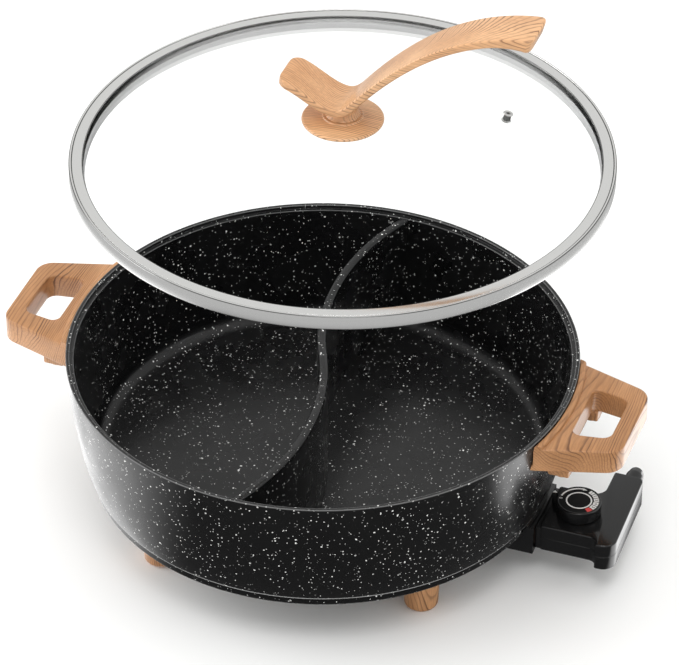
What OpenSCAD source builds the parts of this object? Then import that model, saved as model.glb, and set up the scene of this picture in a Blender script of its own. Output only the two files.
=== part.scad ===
// Electric hot pot with an S-shaped divider, wood-look handles and feet, a
// plug-in temperature control with a dial, and a loose domed glass lid.
// The origin is on the floor under the pot's axis. +X points at the control.
// The lid is drawn lifted off; lid_raise and lid_shift say how far.

/* [Pot] */
// Outside radius of the pot at its rim
rim_r = 165; // [158:1:172]
// Outside radius of the wall just above the base band
base_r = 151.5; // [147:0.5:155]
// Height from the underside of the base to the rim
pot_h = 87.5; // [80:0.5:96]
// How far the wall bulges outside a straight taper
wall_bulge = 4.8; // [1:0.1:6]
// Thickness of the wall
wall_t = 4.5; // [3.5:0.1:5.5]
// Thickness of the floor
floor_t = 6; // [5.5:0.1:8]
// Radius of the corner between floor and wall inside
floor_fillet = 12; // [6:0.5:18]
// Height of the plain band round the base
band_h = 5.5; // [3:0.1:8]
// How far that band is set back from the wall
band_back = 0.8; // [0.4:0.1:1.5]
// Width of the raised lip on top of the rim
lip_w = 2.6; // [1.8:0.1:3.2]
// Depth of the step inside that lip
step_drop = 2.6; // [2.3:0.1:4]

/* [Divider] */
// Thickness of the divider
divider_t = 6; // [4:0.1:8]
// Distance from the rim down to the top of the divider
divider_drop = 3; // [2.8:0.1:8]
// How far each half of the S bows out of line
divider_bow = 17.5; // [8:0.5:28]
// Rounding along the top of the divider
divider_round = 2.2; // [0.8:0.1:2.6]

/* [Feet] */
// Height of the base above the floor
leg_h = 39.5; // [38:0.5:48]
// Radius of a foot at its top
foot_top_r = 12.5; // [10.5:0.1:14]
// Radius of a foot at its tip
foot_tip_r = 10.8; // [9:0.1:12]
// Rounding round the tip of a foot
foot_round = 3; // [1:0.1:4]
// Distance from the base's edge in to a foot's axis
foot_inset = 32.8; // [31:0.1:38]
// Half the angle between the two feet on a handle's side
foot_angle = 43; // [38:0.5:46]
// Turn of the four feet about the pot's axis, seen from above
foot_turn = 5; // [0:0.5:6]
// Radius of the cast stub that a foot fits on
stub_r = 6.5; // [5:0.1:7]
// Length of that stub
stub_h = 10; // [6:0.5:14]

/* [Side handles] */
// How far a handle reaches out past the rim
handle_out = 44.7; // [40:0.1:52]
// Half width of a handle where it meets the pot
handle_root_w = 47; // [44:0.5:52]
// Half width of a handle at its outer end
handle_tip_w = 33; // [30:0.5:38]
// Radius of the outer corners
handle_corner = 12; // [5:0.5:14]
// Thickness of the grip
handle_t = 17; // [14:0.5:19]
// Distance from the rim down to the top of a handle
handle_drop = 4; // [3:0.1:8]
// Width of the bead that follows the pot's wall
bead_w = 4; // [2:0.1:6]
// Height of that bead
bead_h = 2.4; // [1:0.1:2.8]
// Distance from the rim out to the finger opening
grip_gap = 9.5; // [8:0.1:12]
// Length of the finger opening, away from the pot
grip_len = 24.5; // [20:0.5:27]
// Half width of the finger opening near the pot
grip_root_w = 25; // [20:0.5:27]
// Half width of the finger opening at its far end
grip_tip_w = 21; // [16:0.5:23]
// Radius of the corners of the finger opening
grip_corner = 5; // [2:0.5:8]
// Half spacing of the two lugs that carry a handle
lug_y = 31; // [30:0.5:34]
// Half width of a lug
lug_w = 5.5; // [4:0.1:6]
// Thickness of a lug
lug_t = 6; // [5:0.1:7]
// How far a lug reaches into the handle, past the rim
lug_out = 13; // [11:0.1:16]
// Height of the blocks under a handle
block_h = 7; // [4:0.5:10]

/* [Heating element] */
// Radius of the heating tube
element_tube_r = 3.6; // [3:0.1:4]
// Distance from the heated ring out to the back of the socket
element_gap = 23; // [22:0.5:25]
// Centre-line radius of the bend at each end of the tube
element_bend = 16; // [14:0.5:17]
// Half distance between the two terminals
terminal_y = 12; // [11.8:0.1:13]
// Radius of a terminal pin
pin_r = 2; // [1.5:0.1:2.3]
// Distance from the base down to the element's centre line
element_drop = 6.5; // [6:0.1:7]
// Half width of the cast ridge round the element
ridge_w = 6; // [5:0.1:7]

/* [Socket] */
// Length of the socket shroud
shroud_len = 33.5; // [31:0.5:37]
// How far the shroud's mouth stands out past the wall's foot
shroud_proud = 0.8; // [0.6:0.1:2]
// Half width of the shroud
shroud_w = 25; // [24:0.5:28]
// Height of the shroud's mouth
shroud_h = 20; // [19:0.5:20]
// Wall of the shroud
shroud_wall = 2; // [1.5:0.1:2.4]

/* [Control] */
// Height of the control's underside above the floor
control_z = 22; // [21.9:0.1:22.3]
// Thickness of the control
control_t = 19.5; // [19:0.1:20.5]
// Half width of the control's neck
neck_w = 22; // [21.5:0.1:23]
// Length of the neck from the socket to the cross piece
neck_len = 29.2; // [29:0.1:33]
// Width of the cross piece, along X
head_len = 22; // [21.5:0.1:24]
// Reach of the cross piece in front of the control's middle
head_front = 28.5; // [27:0.5:32]
// Reach of the cross piece behind the control's middle
head_rear = 48; // [44:0.5:52]
// How much narrower the cross piece gets towards its rear end
head_taper = 2.2; // [0:0.1:4]
// How much narrower the front arm of the cross piece is
front_arm_cut = 9.5; // [8:0.1:10]
// Wall of the control's shells
case_wall = 2; // [1.6:0.1:2.2]
// Height of the lower shell
lower_shell_h = 10; // [9:0.1:11]
// Radius of the temperature probe
probe_r = 3.5; // [3:0.1:3.6]
// Height of the probe above the control's underside
probe_rise = 5.5; // [5.3:0.1:5.8]

/* [Dial] */
// Radius of the dial
dial_r = 14.5; // [13:0.1:16]
// Height of the dial
dial_h = 9.2; // [7:0.1:12]
// Distance from the neck's shoulder to the dial's axis
dial_x = 19.2; // [19:0.1:20.5]
// Radius of the dial's shaft
shaft_r = 3; // [2.5:0.1:3.4]

/* [Lid] */
// How far the lid's edge reaches out past the rim
lid_overhang = 5; // [3:0.1:6]
// Height of the lid's steel band
lid_band_h = 9.5; // [8:0.1:12]
// Width of the band's top flange
lid_flange = 8.7; // [8:0.1:10]
// Thickness of the band's sheet
sheet_t = 0.8; // [0.6:0.1:1]
// Thickness of the glass
glass_t = 4; // [3:0.1:4.5]
// Height of the dome above the band
dome_h = 26; // [18:0.5:34]
// Depth of the band's skirt inside the rim
skirt_h = 2; // [1:0.1:2.2]
// Height of the lifted lid above the rim
lid_raise = 153.5; // [60:0.5:170]
// Sideways shift of the lifted lid, towards the control
lid_shift = 13; // [0:0.5:18]
// Distance of the steam vent from the lid's axis
vent_r = 105; // [60:1:120]
// Direction of the steam vent from +X
vent_angle = 31.5; // [0:0.5:90]

/* [Lid handle] */
// Radius of the collar under the lid's handle
collar_r = 25.8; // [22:0.1:28]
// Width of the handle's strap
strap_w = 31; // [26:0.5:36]
// Thickness of the strap
strap_t = 5; // [4:0.1:6]
// Extra thickness at the end of the long arm
strap_flare = 4; // [1:0.1:5]
// Rounding of the short arm's corners, seen from above
strap_corner = 8; // [3:0.5:10]
// Rounding of the long arm's corners, seen from above
strap_tip_corner = 5; // [2:0.5:8]
// Radius of the neck under the strap
neck_r = 9; // [7:0.1:10]

/* [Hidden] */

$fn = 96;
corner_steps = 6;
wall_steps = 14;
strap_steps = 14;
eps = 0.5;               // overlap that joins or cuts through cleanly
fit = 0.15;              // gap between fixed pieces
free_gap = 0.3;          // gap between pieces that move apart

// --- Pot ---
base_z = leg_h;
rim_z = base_z + pot_h;
floor_z = base_z + floor_t;
band_z = base_z + band_h;
lip_r = rim_r - lip_w;
step_z = rim_z - step_drop;
ledge_w = 2.4;
ledge_r = lip_r - ledge_w;
edge_cut = 0.5;
outside = [
    for (i = [0 : wall_steps])
        bezier([base_r, band_z],
               [(base_r + rim_r) / 2 + wall_bulge * 0.5, band_z + (rim_z - band_z) * 0.27],
               [rim_r, rim_z - edge_cut], i / wall_steps)
];
outside_table = [for (p = outside) [p.y, p.x]];
inner_foot = wall_radius(floor_z + floor_fillet) - wall_t;

// --- Divider ---
divider_top = rim_z - divider_drop;
divider_chord = ledge_r;
arc_r = (pow(divider_chord / 2, 2) + pow(divider_bow, 2)) / (2 * divider_bow);
arc_x = arc_r - divider_bow;
arc_y = divider_chord / 2;
arc_half = atan2(arc_y, arc_x);
arc_extra = 1.2;
divider_sink = 1.5;

// --- Feet ---
foot_ring = base_r - foot_inset;
foot_bore = 2.3;
foot_recess_r = 4.8;
foot_recess = 7;
screw_pilot = 1.9;

// --- Heating element and socket ---
shroud_face = base_r + shroud_proud;
shroud_back = shroud_face - shroud_len;
shroud_roof = base_z - fit;
shroud_z = base_z - shroud_h;
socket_top = shroud_roof - shroud_wall + 0.3;
element_r = shroud_back - element_gap;
element_z = base_z - element_drop;
bend_swell = 0.2;
bend_lap = 1;
lap_angle = bend_lap / element_r * 180 / PI;
bend_y = terminal_y + element_bend;
bend_x = sqrt(pow(element_r + element_bend, 2) - pow(bend_y, 2));
bend_angle = atan2(bend_y, bend_x);
tube_end = shroud_back - 2;
pin_len = 32;
bushing_r = 4;
bushing_len = 8;
probe_z = control_z + probe_rise;
probe_boss_r = 5.6;
probe_boss_len = 17;
probe_boss_x = element_r - 2;
ear_y = shroud_w + 7;
ear_r = 6;
ear_t = 2.4;
ear_x = shroud_back + 10;
shroud_screw_r = 1.7;

// --- Side handles ---
handle_end = rim_r + handle_out;
handle_top = rim_z - handle_drop;
handle_bottom = handle_top - handle_t;
handle_root = rim_r - 12;
bead_z = handle_top + bead_h;
bead_inset = 0.4;
grip_x = rim_r + grip_gap;
grip_end = grip_x + grip_len;
lug_end = rim_r + lug_out;
lug_mid = handle_bottom + lug_t / 2 + 1;
lug_root = sqrt(pow(wall_radius(lug_mid) - wall_t / 2, 2) - pow(lug_y, 2));
lug_screw_x = rim_r + 7;
block_len = 13;
block_w = 9;
block_x = rim_r + 0.5;
block_z = handle_bottom - block_h;
handle_screw_r = 2;
handle_head_r = 3.6;

// --- Lid ---
lid_r = rim_r + lid_overhang;
flange_r = lid_r - lid_flange;
skirt_r = flange_r - 0.3;
glass_edge = lid_r - sheet_t - 0.4;
glass_seat = -sheet_t - 0.1;
dome_flat = 27;
dome_r = flange_r - 1.5;
dome_steps = 16;
vent_hole = 2.5;
vent_lip = 3.2;
vent_z = glass_top(vent_r);
vent_slope = atan(2 * (dome_h - glass_seat) * (vent_r - dome_flat)
                  / pow(dome_r - dome_flat, 2));
gasket_t = 0.8;
collar_z = dome_h + gasket_t;
collar_h = 4.1;
neck_z = collar_z + collar_h;
screw_hole = 3;

// --- Lid handle, measured from the lid's axis and the top of its band ---
valley_z = neck_z + 11.3;
strap_left = -38;
strap_right = 125;
strap_top = concat(
    curve([strap_left, valley_z + 14.8], [-24, valley_z + 13.4], [-13, valley_z + 1],
          [-2, valley_z], 0, strap_steps),
    curve([-2, valley_z], [2, valley_z - 0.3], [5, valley_z + 2], [8, valley_z + 5.4],
          1, 5),
    curve([8, valley_z + 5.4], [37, valley_z + 41], [74, valley_z + 74],
          [strap_right, valley_z + 77], 1, strap_steps * 2)
);

// --- Control ---
control_top = control_z + control_t;
split_z = control_z + lower_shell_h;
collar_x = shroud_face + free_gap;
collar_len = 3;
collar_cut = 0.5;
collar_top = base_z - free_gap;
neck_x = collar_x + collar_len;
head_x = neck_x + neck_len;
control_end = head_x + head_len;
dial_axis = neck_x + dial_x;
dial_z = control_top + 0.4;
nose_len = 24.5;
nose_w = 19;
nose_z = control_z + 1.5;
nose_top = socket_top - 0.5;
nose_x = neck_x - nose_len;
flange_w = neck_w - case_wall - 1.8;
sleeve_r = 3;
sleeve_bore = pin_r + free_gap;
sleeve_x = nose_x + 3.5;
probe_tip = probe_boss_x + 4;
probe_back = neck_x + 4;
case_boss_r = 3.4;
case_screw_r = 1.4;
case_screws = [
    [control_end - 6.5, -head_front + 7],
    [control_end - 6.5, head_rear - 20],
    [dial_axis - 10, neck_w - 6.5]
];
gland_x = head_x + head_len * 0.5;
gland_r = 5.8;
gland_neck = 4.8;
gland_collar = 5.5;
gland_len = 14;
gland_z = control_z + 11.5;
cord_r = 3.7;
pointer_angle = 165;
shaft_bottom = control_z + 8;

// ---------- Small tools ----------
function unit(v) = v / norm(v);

function turn(a) = a > 180 ? a - 360 : a < -180 ? a + 360 : a;

function bezier(a, b, c, t) = pow(1 - t, 2) * a + 2 * (1 - t) * t * b + t * t * c;

// Points first..n of a cubic curve
function curve(a, b, c, d, first, n) = [
    for (i = [first : n])
        let (t = i / n, s = 1 - t)
        s * s * s * a + 3 * s * s * t * b + 3 * s * t * t * c + t * t * t * d
];

// Arc that rounds the corner at b
function corner(a, b, c, r) =
    let (
        u = unit(a - b),
        v = unit(c - b),
        half = acos(u * v) / 2,
        centre = b + unit(u + v) * (r / sin(half)),
        p = b + u * (r / tan(half)) - centre,
        q = b + v * (r / tan(half)) - centre,
        start = atan2(p.y, p.x),
        sweep = turn(atan2(q.y, q.x) - start)
    )
    [for (i = [0 : corner_steps])
        let (w = start + sweep * i / corner_steps)
        centre + r * [cos(w), sin(w)]];

// Outline with each corner rounded by its own radius
function rounded(points, radii) =
    let (n = len(points))
    [for (i = [0 : n - 1])
        each (radii[i] > 0
            ? corner(points[(i + n - 1) % n], points[i], points[(i + 1) % n], radii[i])
            : [points[i]])];

// Outside radius of the wall at height z
function wall_radius(z) = lookup(z, outside_table);

// Height of the glass dome's top at radius r, from the handle out to its seat
function glass_top(r) =
    let (t = max(0, r - dome_flat) / (dome_r - dome_flat))
    dome_h - (dome_h - glass_seat) * t * t;

// Unit normal of a polyline at point i, pointing down
function down_normal(list, i) =
    let (
        a = list[max(i - 1, 0)],
        b = list[min(i + 1, len(list) - 1)],
        d = unit(b - a)
    )
    [d.y, -d.x];

module ring(outer, inner, low, high) {
    translate([0, 0, low])
        difference() {
            cylinder(r = outer, h = high - low);
            translate([0, 0, -eps])
                cylinder(r = inner, h = high - low + 2 * eps);
        }
}

// Cylinder along +X from x0 to x1
module rod_x(r, x0, x1) {
    translate([x0, 0, 0])
        rotate([0, 90, 0])
            cylinder(r = r, h = x1 - x0);
}

// Screw standing on its head: the head's underside is at z = 0, the shank goes up
module screw(shank_r, shank_len, head_r, head_h) {
    rotate_extrude()
        polygon([
            [0, -head_h], [head_r * 0.75, -head_h], [head_r, -head_h * 0.45],
            [head_r, 0], [shank_r, 0], [shank_r, shank_len - shank_r],
            [shank_r * 0.4, shank_len], [0, shank_len]
        ]);
}

module both_sides(y) {
    for (side = [-1, 1])
        translate([0, side * y, 0])
            children();
}

// Place of the foot on side sx and end sy
module foot_place(sx, sy) {
    rotate([0, 0, (sx > 0 ? 0 : 180) + foot_turn + sx * sy * foot_angle])
        translate([foot_ring, 0, 0])
            children();
}

module each_foot() {
    for (sx = [-1, 1], sy = [-1, 1])
        foot_place(sx, sy)
            children();
}

// ---------- Pot ----------
module pot_shell() {
    rotate_extrude($fn = 180)
        polygon(concat(
            [[0, base_z], [base_r - band_back - edge_cut, base_z],
             [base_r - band_back, base_z + edge_cut], [base_r - band_back, band_z]],
            outside,
            [[rim_r - edge_cut, rim_z], [lip_r + edge_cut * 0.5, rim_z],
             [lip_r, rim_z - edge_cut], [lip_r, step_z], [ledge_r, step_z]],
            [for (i = [wall_steps - 1 : -1 : 1])
                if (outside[i].y < step_z - 2 && outside[i].y > floor_z + floor_fillet + 1)
                    [outside[i].x - wall_t, outside[i].y]],
            corner([inner_foot, floor_z + 2 * floor_fillet], [inner_foot, floor_z],
                   [0, floor_z], floor_fillet),
            [[0, floor_z]]
        ));
}

// Everything inside the middle of the wall, to trim the divider's ends
module inside_wall() {
    rotate_extrude($fn = 180)
        polygon(concat(
            [[0, floor_z - eps], [inner_foot + wall_t * 0.4, floor_z - eps]],
            [for (p = outside)
                if (p.y > floor_z + floor_fillet && p.y < rim_z - 6)
                    [p.x - wall_t * 0.6, p.y]],
            [[ledge_r + 0.6, rim_z - 5], [ledge_r + 0.6, step_z - eps],
             [0, step_z - eps]]
        ));
}

module divider_half() {
    translate([arc_x, arc_y, 0])
        rotate([0, 0, 180 - arc_half - arc_extra])
            rotate_extrude(angle = 2 * arc_half + arc_extra, $fn = 180)
                polygon(rounded(
                    [[arc_r - divider_t / 2, floor_z - divider_sink],
                     [arc_r + divider_t / 2, floor_z - divider_sink],
                     [arc_r + divider_t / 2, divider_top],
                     [arc_r - divider_t / 2, divider_top]],
                    [0, 0, divider_round, divider_round]));
}

module divider() {
    intersection() {
        union() {
            divider_half();
            rotate([0, 0, 180])
                divider_half();
        }
        inside_wall();
    }
}

module element_ridge() {
    rotate([0, 0, bend_angle])
        rotate_extrude(angle = 360 - 2 * bend_angle)
            translate([element_r - ridge_w, element_z])
                square([2 * ridge_w, element_drop + eps]);
}

module element_groove() {
    rotate([0, 0, bend_angle - lap_angle])
        rotate_extrude(angle = 360 - 2 * bend_angle + 2 * lap_angle)
            translate([element_r, element_z])
                rotate(-90)
                    circle(r = element_tube_r + fit, $fn = 32);
}

module probe_boss() {
    translate([probe_boss_x, -probe_boss_r, probe_z - probe_boss_r])
        cube([probe_boss_len, 2 * probe_boss_r, base_z - probe_z + probe_boss_r + eps]);
}

module handle_lug() {
    translate([lug_root, -lug_w, lug_mid - lug_t / 2])
        cube([lug_end - lug_root, 2 * lug_w, lug_t]);
}

module pot_casting() {
    color("#1c1c1d")
    difference() {
        union() {
            pot_shell();
            divider();
            element_ridge();
            probe_boss();
            each_foot()
                translate([0, 0, base_z - stub_h])
                    cylinder(r = stub_r, h = stub_h + eps);
            for (turn_z = [0, 180])
                rotate([0, 0, turn_z])
                    both_sides(lug_y)
                        handle_lug();
        }
        element_groove();
        translate([0, 0, probe_z])
            rod_x(probe_r + free_gap, probe_boss_x - eps, probe_boss_x + probe_boss_len + eps);
        each_foot()
            translate([0, 0, base_z - stub_h - eps])
                cylinder(r = screw_pilot, h = stub_h + 2 + eps);
        both_sides(ear_y)
            translate([ear_x, 0, base_z - eps])
                cylinder(r = shroud_screw_r + fit, h = 4 + eps);
        for (turn_z = [0, 180])
            rotate([0, 0, turn_z])
                both_sides(lug_y)
                    translate([lug_screw_x, 0, lug_mid - lug_t])
                        cylinder(r = handle_screw_r + fit, h = lug_t * 2);
    }
}

module element_end() {
    // Bend out of the ring, a little fatter, then the straight run to the terminal
    translate([bend_x, bend_y, element_z])
        rotate([0, 0, 180 + bend_angle])
            rotate_extrude(angle = 90 - bend_angle)
                translate([element_bend, 0])
                    circle(r = element_tube_r + bend_swell, $fn = 32);
    translate([0, terminal_y, element_z])
        rod_x(element_tube_r, bend_x - bend_lap, tube_end, $fn = 32);
}

module heating_element() {
    color("#9a9a97")
    union() {
        translate([0, 0, element_z])
            rotate([0, 0, bend_angle - lap_angle])
                rotate_extrude(angle = 360 - 2 * bend_angle + 2 * lap_angle)
                    translate([element_r, 0])
                        circle(r = element_tube_r, $fn = 32);
        element_end();
        mirror([0, 1, 0])
            element_end();
    }
}

module terminal_pins() {
    color("#b9b9b4")
    both_sides(terminal_y)
        translate([tube_end, 0, element_z])
            rotate([0, 90, 0])
                rotate_extrude()
                    polygon([[0, 0], [pin_r, 0], [pin_r, pin_len - pin_r],
                             [pin_r * 0.45, pin_len], [0, pin_len]]);
}

module terminal_insulators() {
    color("#e8e2d2")
    both_sides(terminal_y)
        translate([shroud_back - 1.5, 0, element_z])
            rotate([0, 90, 0])
                ring(bushing_r, pin_r + fit, 0, bushing_len);
}

module shroud_ear() {
    difference() {
        union() {
            translate([ear_x, ear_y, shroud_roof - ear_t])
                cylinder(r = ear_r, h = ear_t);
            translate([ear_x - ear_r, shroud_w - eps, shroud_roof - ear_t])
                cube([2 * ear_r, ear_y - shroud_w + eps, ear_t]);
        }
        translate([ear_x, ear_y, shroud_roof - ear_t - eps])
            cylinder(r = shroud_screw_r + fit, h = ear_t + 2 * eps);
    }
}

module socket_shroud() {
    inner_w = shroud_w - shroud_wall;
    color("#161617")
    difference() {
        union() {
            translate([shroud_back, -shroud_w, shroud_z])
                cube([shroud_len, 2 * shroud_w, shroud_roof - shroud_z]);
            shroud_ear();
            mirror([0, 1, 0])
                shroud_ear();
        }
        translate([shroud_back + shroud_wall, -inner_w, shroud_z + shroud_wall])
            cube([shroud_len, 2 * inner_w, socket_top - shroud_z - shroud_wall]);
        both_sides(terminal_y)
            translate([0, 0, element_z])
                rod_x(bushing_r + fit, shroud_back - eps, shroud_back + shroud_wall + eps);
        translate([0, 0, probe_z])
            rod_x(probe_r + 0.8, shroud_back - eps, shroud_back + shroud_wall + eps);
    }
}

module shroud_screws() {
    color("#8f8f8c")
    both_sides(ear_y)
        translate([ear_x, 0, shroud_roof - ear_t])
            screw(shroud_screw_r, 5.5, 3.2, 2);
}

// ---------- Feet ----------
module foot() {
    color("#c48a58")
    difference() {
        rotate_extrude()
            polygon(rounded(
                [[0, 0], [foot_tip_r, 0], [foot_top_r, base_z - fit], [0, base_z - fit]],
                [0, foot_round, 0.8, 0]));
        translate([0, 0, base_z - stub_h - fit])
            cylinder(r = stub_r + fit, h = stub_h + eps);
        translate([0, 0, -eps])
            cylinder(r = foot_recess_r, h = foot_recess + eps);
        cylinder(r = foot_bore, h = base_z);
    }
}

module foot_at(sx, sy) {
    foot_place(sx, sy)
        foot();
}

module front_left_foot() { foot_at(-1, -1); }
module front_right_foot() { foot_at(1, -1); }
module rear_left_foot() { foot_at(-1, 1); }
module rear_right_foot() { foot_at(1, 1); }

module foot_screws() {
    color("#8f8f8c")
    each_foot()
        translate([0, 0, foot_recess])
            screw(screw_pilot - fit, base_z - foot_recess, 4, 2.6);
}

// ---------- Side handles ----------
// Sloping side of the handle, as half width at x
function handle_side(x) =
    handle_root_w + (handle_tip_w - handle_root_w) * (x - rim_r) / handle_out;

module handle_plan() {
    polygon(rounded(
        [[handle_root, -handle_side(handle_root)], [handle_end, -handle_tip_w],
         [handle_end, handle_tip_w], [handle_root, handle_side(handle_root)]],
        [0, handle_corner, handle_corner, 0]));
}

module grip_plan() {
    polygon(rounded(
        [[grip_x, -grip_root_w], [grip_end, -grip_tip_w],
         [grip_end, grip_tip_w], [grip_x, grip_root_w]],
        [grip_corner, grip_corner + 2, grip_corner + 2, grip_corner]));
}

module handle_block() {
    translate([block_x - 8, -block_w, block_z])
        cube([block_len + 8, 2 * block_w, block_h + eps]);
    translate([lug_screw_x, 0, block_z - 3])
        cylinder(r = handle_head_r + 2, h = 3 + eps);
}

module handle() {
    color("#c48a58")
    difference() {
        union() {
            translate([0, 0, handle_bottom])
                linear_extrude(handle_t)
                    handle_plan();
            // Bead that follows the pot's wall
            intersection() {
                rotate_extrude(angle = 360, $fn = 180)
                    translate([rim_r - 4, handle_top - eps])
                        square([4 + bead_w, bead_h + eps]);
                translate([0, 0, handle_top - eps])
                    linear_extrude(bead_h + 2 * eps)
                        polygon([[handle_root, bead_inset - handle_side(handle_root)],
                                 [handle_end, bead_inset - handle_tip_w],
                                 [handle_end, handle_tip_w - bead_inset],
                                 [handle_root, handle_side(handle_root) - bead_inset]]);
            }
            both_sides(lug_y)
                handle_block();
        }
        translate([0, 0, handle_bottom - eps])
            linear_extrude(handle_t + bead_h + 2 * eps)
                grip_plan();
        // Room for the pot's wall
        rotate_extrude($fn = 180)
            polygon(concat(
                [[0, base_z]],
                [for (p = outside) [p.x + fit, p.y]],
                [[rim_r + fit, rim_z + eps], [0, rim_z + eps]]));
        both_sides(lug_y) {
            translate([rim_r - 10, -lug_w - fit, lug_mid - lug_t / 2 - fit])
                cube([lug_out + 10 + fit, 2 * (lug_w + fit), lug_t + 2 * fit]);
            translate([lug_screw_x, 0, block_z - 3 - eps])
                cylinder(r = handle_screw_r + fit, h = lug_mid - block_z + 5);
            translate([lug_screw_x, 0, block_z - 3 - eps])
                cylinder(r = handle_head_r + fit, h = 4 + eps);
        }
    }
}

module right_handle() { handle(); }
module left_handle() { rotate([0, 0, 180]) handle(); }

module handle_screws() {
    color("#8f8f8c")
    for (turn_z = [0, 180])
        rotate([0, 0, turn_z])
            both_sides(lug_y)
                translate([lug_screw_x, 0, block_z + 1])
                    screw(handle_screw_r, lug_mid + lug_t / 2 - block_z - 1,
                          handle_head_r, 2.4);
}

// ---------- Lid ----------
module on_lid() {
    translate([lid_shift, 0, rim_z + lid_raise])
        children();
}

module at_vent() {
    rotate([0, 0, vent_angle])
        translate([vent_r, 0, vent_z])
            rotate([0, vent_slope, 0])
                children();
}

module lid_glass() {
    dome = [for (i = [0 : dome_steps])
        let (r = dome_flat + (dome_r - dome_flat) * i / dome_steps)
        [r, glass_top(r)]];
    color([0.85, 0.9, 0.92, 0.35])
    on_lid()
        difference() {
            rotate_extrude($fn = 180)
                polygon(concat(
                    [[screw_hole, dome_h]],
                    dome,
                    [[glass_edge, glass_seat], [glass_edge, glass_seat - glass_t]],
                    [for (i = [dome_steps : -1 : 0]) [dome[i].x, dome[i].y - glass_t]],
                    [[screw_hole, dome_h - glass_t]]
                ));
            at_vent()
                translate([0, 0, -glass_t * 2])
                    cylinder(r = vent_hole, h = glass_t * 3, $fn = 32);
        }
}

module lid_band() {
    floor_in = glass_seat - glass_t - 0.1;
    color("#c9cacb")
    on_lid()
        rotate_extrude($fn = 180)
            polygon([
                [flange_r, 0], [lid_r - 1.2, 0], [lid_r - 0.35, -0.35], [lid_r, -1.2],
                [lid_r, -lid_band_h], [skirt_r, -lid_band_h],
                [skirt_r, -lid_band_h - skirt_h],
                [skirt_r - sheet_t, -lid_band_h - skirt_h],
                [skirt_r - sheet_t, floor_in], [skirt_r, floor_in],
                [skirt_r, -lid_band_h + sheet_t],
                [lid_r - sheet_t, -lid_band_h + sheet_t],
                [lid_r - sheet_t, -sheet_t], [flange_r, -sheet_t]
            ]);
}

module vent_grommet() {
    grommet_r = vent_hole - fit;
    color("#c9cacb")
    on_lid()
        at_vent()
            rotate_extrude($fn = 32)
                polygon([
                    [1.3, 0.9], [vent_lip - 0.5, 0.9], [vent_lip, 0.4], [vent_lip, 0.2],
                    [grommet_r, 0.2], [grommet_r, -glass_t - 0.3],
                    [vent_lip, -glass_t - 0.3], [vent_lip, -glass_t - 0.9],
                    [1.3, -glass_t - 0.9]
                ]);
}

module collar_gasket() {
    color("#3a3a3a")
    on_lid()
        ring(collar_r - 2, 4, dome_h, collar_z);
}

module handle_collar() {
    color("#c07f52")
    on_lid()
        rotate_extrude()
            polygon([
                [screw_hole, collar_z], [collar_r - 0.6, collar_z],
                [collar_r, collar_z + 0.7], [collar_r - 0.3, collar_z + 1.6],
                [collar_r - 1.4, collar_z + 2], [14, collar_z + collar_h - 0.9],
                [12.6, neck_z], [screw_hole, neck_z]
            ]);
}

module strap_body() {
    last = len(strap_top) - 1;
    under = [for (i = [last : -1 : 0])
        let (
            run = max(0, (strap_top[i].x - strap_right + 34) / 34),
            t = strap_t + strap_flare * run * run
        )
        strap_top[i] + t * down_normal(strap_top, i)];
    intersection() {
        rotate([90, 0, 0])
            translate([0, 0, -strap_w / 2])
                linear_extrude(strap_w)
                    polygon(concat(strap_top, under));
        translate([0, 0, neck_z])
            linear_extrude(valley_z + 100)
                polygon(rounded(
                    [[strap_left - 3, -strap_w / 2], [strap_right + 2, -strap_w / 2],
                     [strap_right + 2, strap_w / 2], [strap_left - 3, strap_w / 2]],
                    [strap_corner, strap_tip_corner, strap_tip_corner, strap_corner]));
    }
}

module strap_neck() {
    reach = neck_r + 4;
    intersection() {
        rotate_extrude($fn = 48)
            polygon([
                [0, neck_z], [neck_r + 2.6, neck_z], [neck_r + 1, neck_z + 1.2],
                [neck_r, neck_z + 3.4], [neck_r + 0.4, valley_z + 8], [0, valley_z + 8]
            ]);
        rotate([90, 0, 0])
            translate([0, 0, -reach])
                linear_extrude(2 * reach)
                    polygon(concat(
                        [[strap_left, neck_z - 1]],
                        [for (p = strap_top) p + [0, -1]],
                        [[strap_right, neck_z - 1]]));
    }
}

module lid_handle() {
    color("#c48a58")
    on_lid()
        difference() {
            union() {
                strap_body();
                strap_neck();
            }
            translate([0, 0, neck_z - eps])
                cylinder(r = 2.3, h = 8 + eps, $fn = 32);
        }
}

module lower_gasket() {
    color("#3a3a3a")
    on_lid()
        ring(12, 4, dome_h - glass_t - gasket_t, dome_h - glass_t);
}

module lid_washer() {
    color("#c9cacb")
    on_lid()
        ring(11, screw_hole, dome_h - glass_t - gasket_t - 1.2, dome_h - glass_t - gasket_t);
}

module lid_screw() {
    color("#8f8f8c")
    on_lid()
        translate([0, 0, dome_h - glass_t - gasket_t - 1.2])
            screw(2.15, neck_z + 7 - dome_h + glass_t + gasket_t + 1.2, 5, 3);
}

// ---------- Control ----------
// Outline of the control, moved in by d
function control_outline(d) = rounded(
    [[neck_x + d, -neck_w + d],
     [head_x + front_arm_cut + d, -neck_w + d],
     [head_x + front_arm_cut + d, -head_front + d],
     [control_end - d, -head_front + d],
     [control_end - head_taper - d, head_rear - d],
     [head_x + d, head_rear - d],
     [head_x + d, neck_w - d],
     [neck_x + d, neck_w - d]],
    [2, 5.5 + d, 0, 9 - d, 4.5 - d, 0, 8 + d, 2]);

module control_block(low, high, d) {
    translate([0, 0, low])
        linear_extrude(high - low)
            polygon(control_outline(d));
}

// Low collar between the neck and the socket's mouth
module neck_collar(low, high) {
    translate([collar_x, collar_cut - neck_w, low])
        cube([collar_len + case_wall / 2, 2 * (neck_w - collar_cut), high - low]);
}

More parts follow.
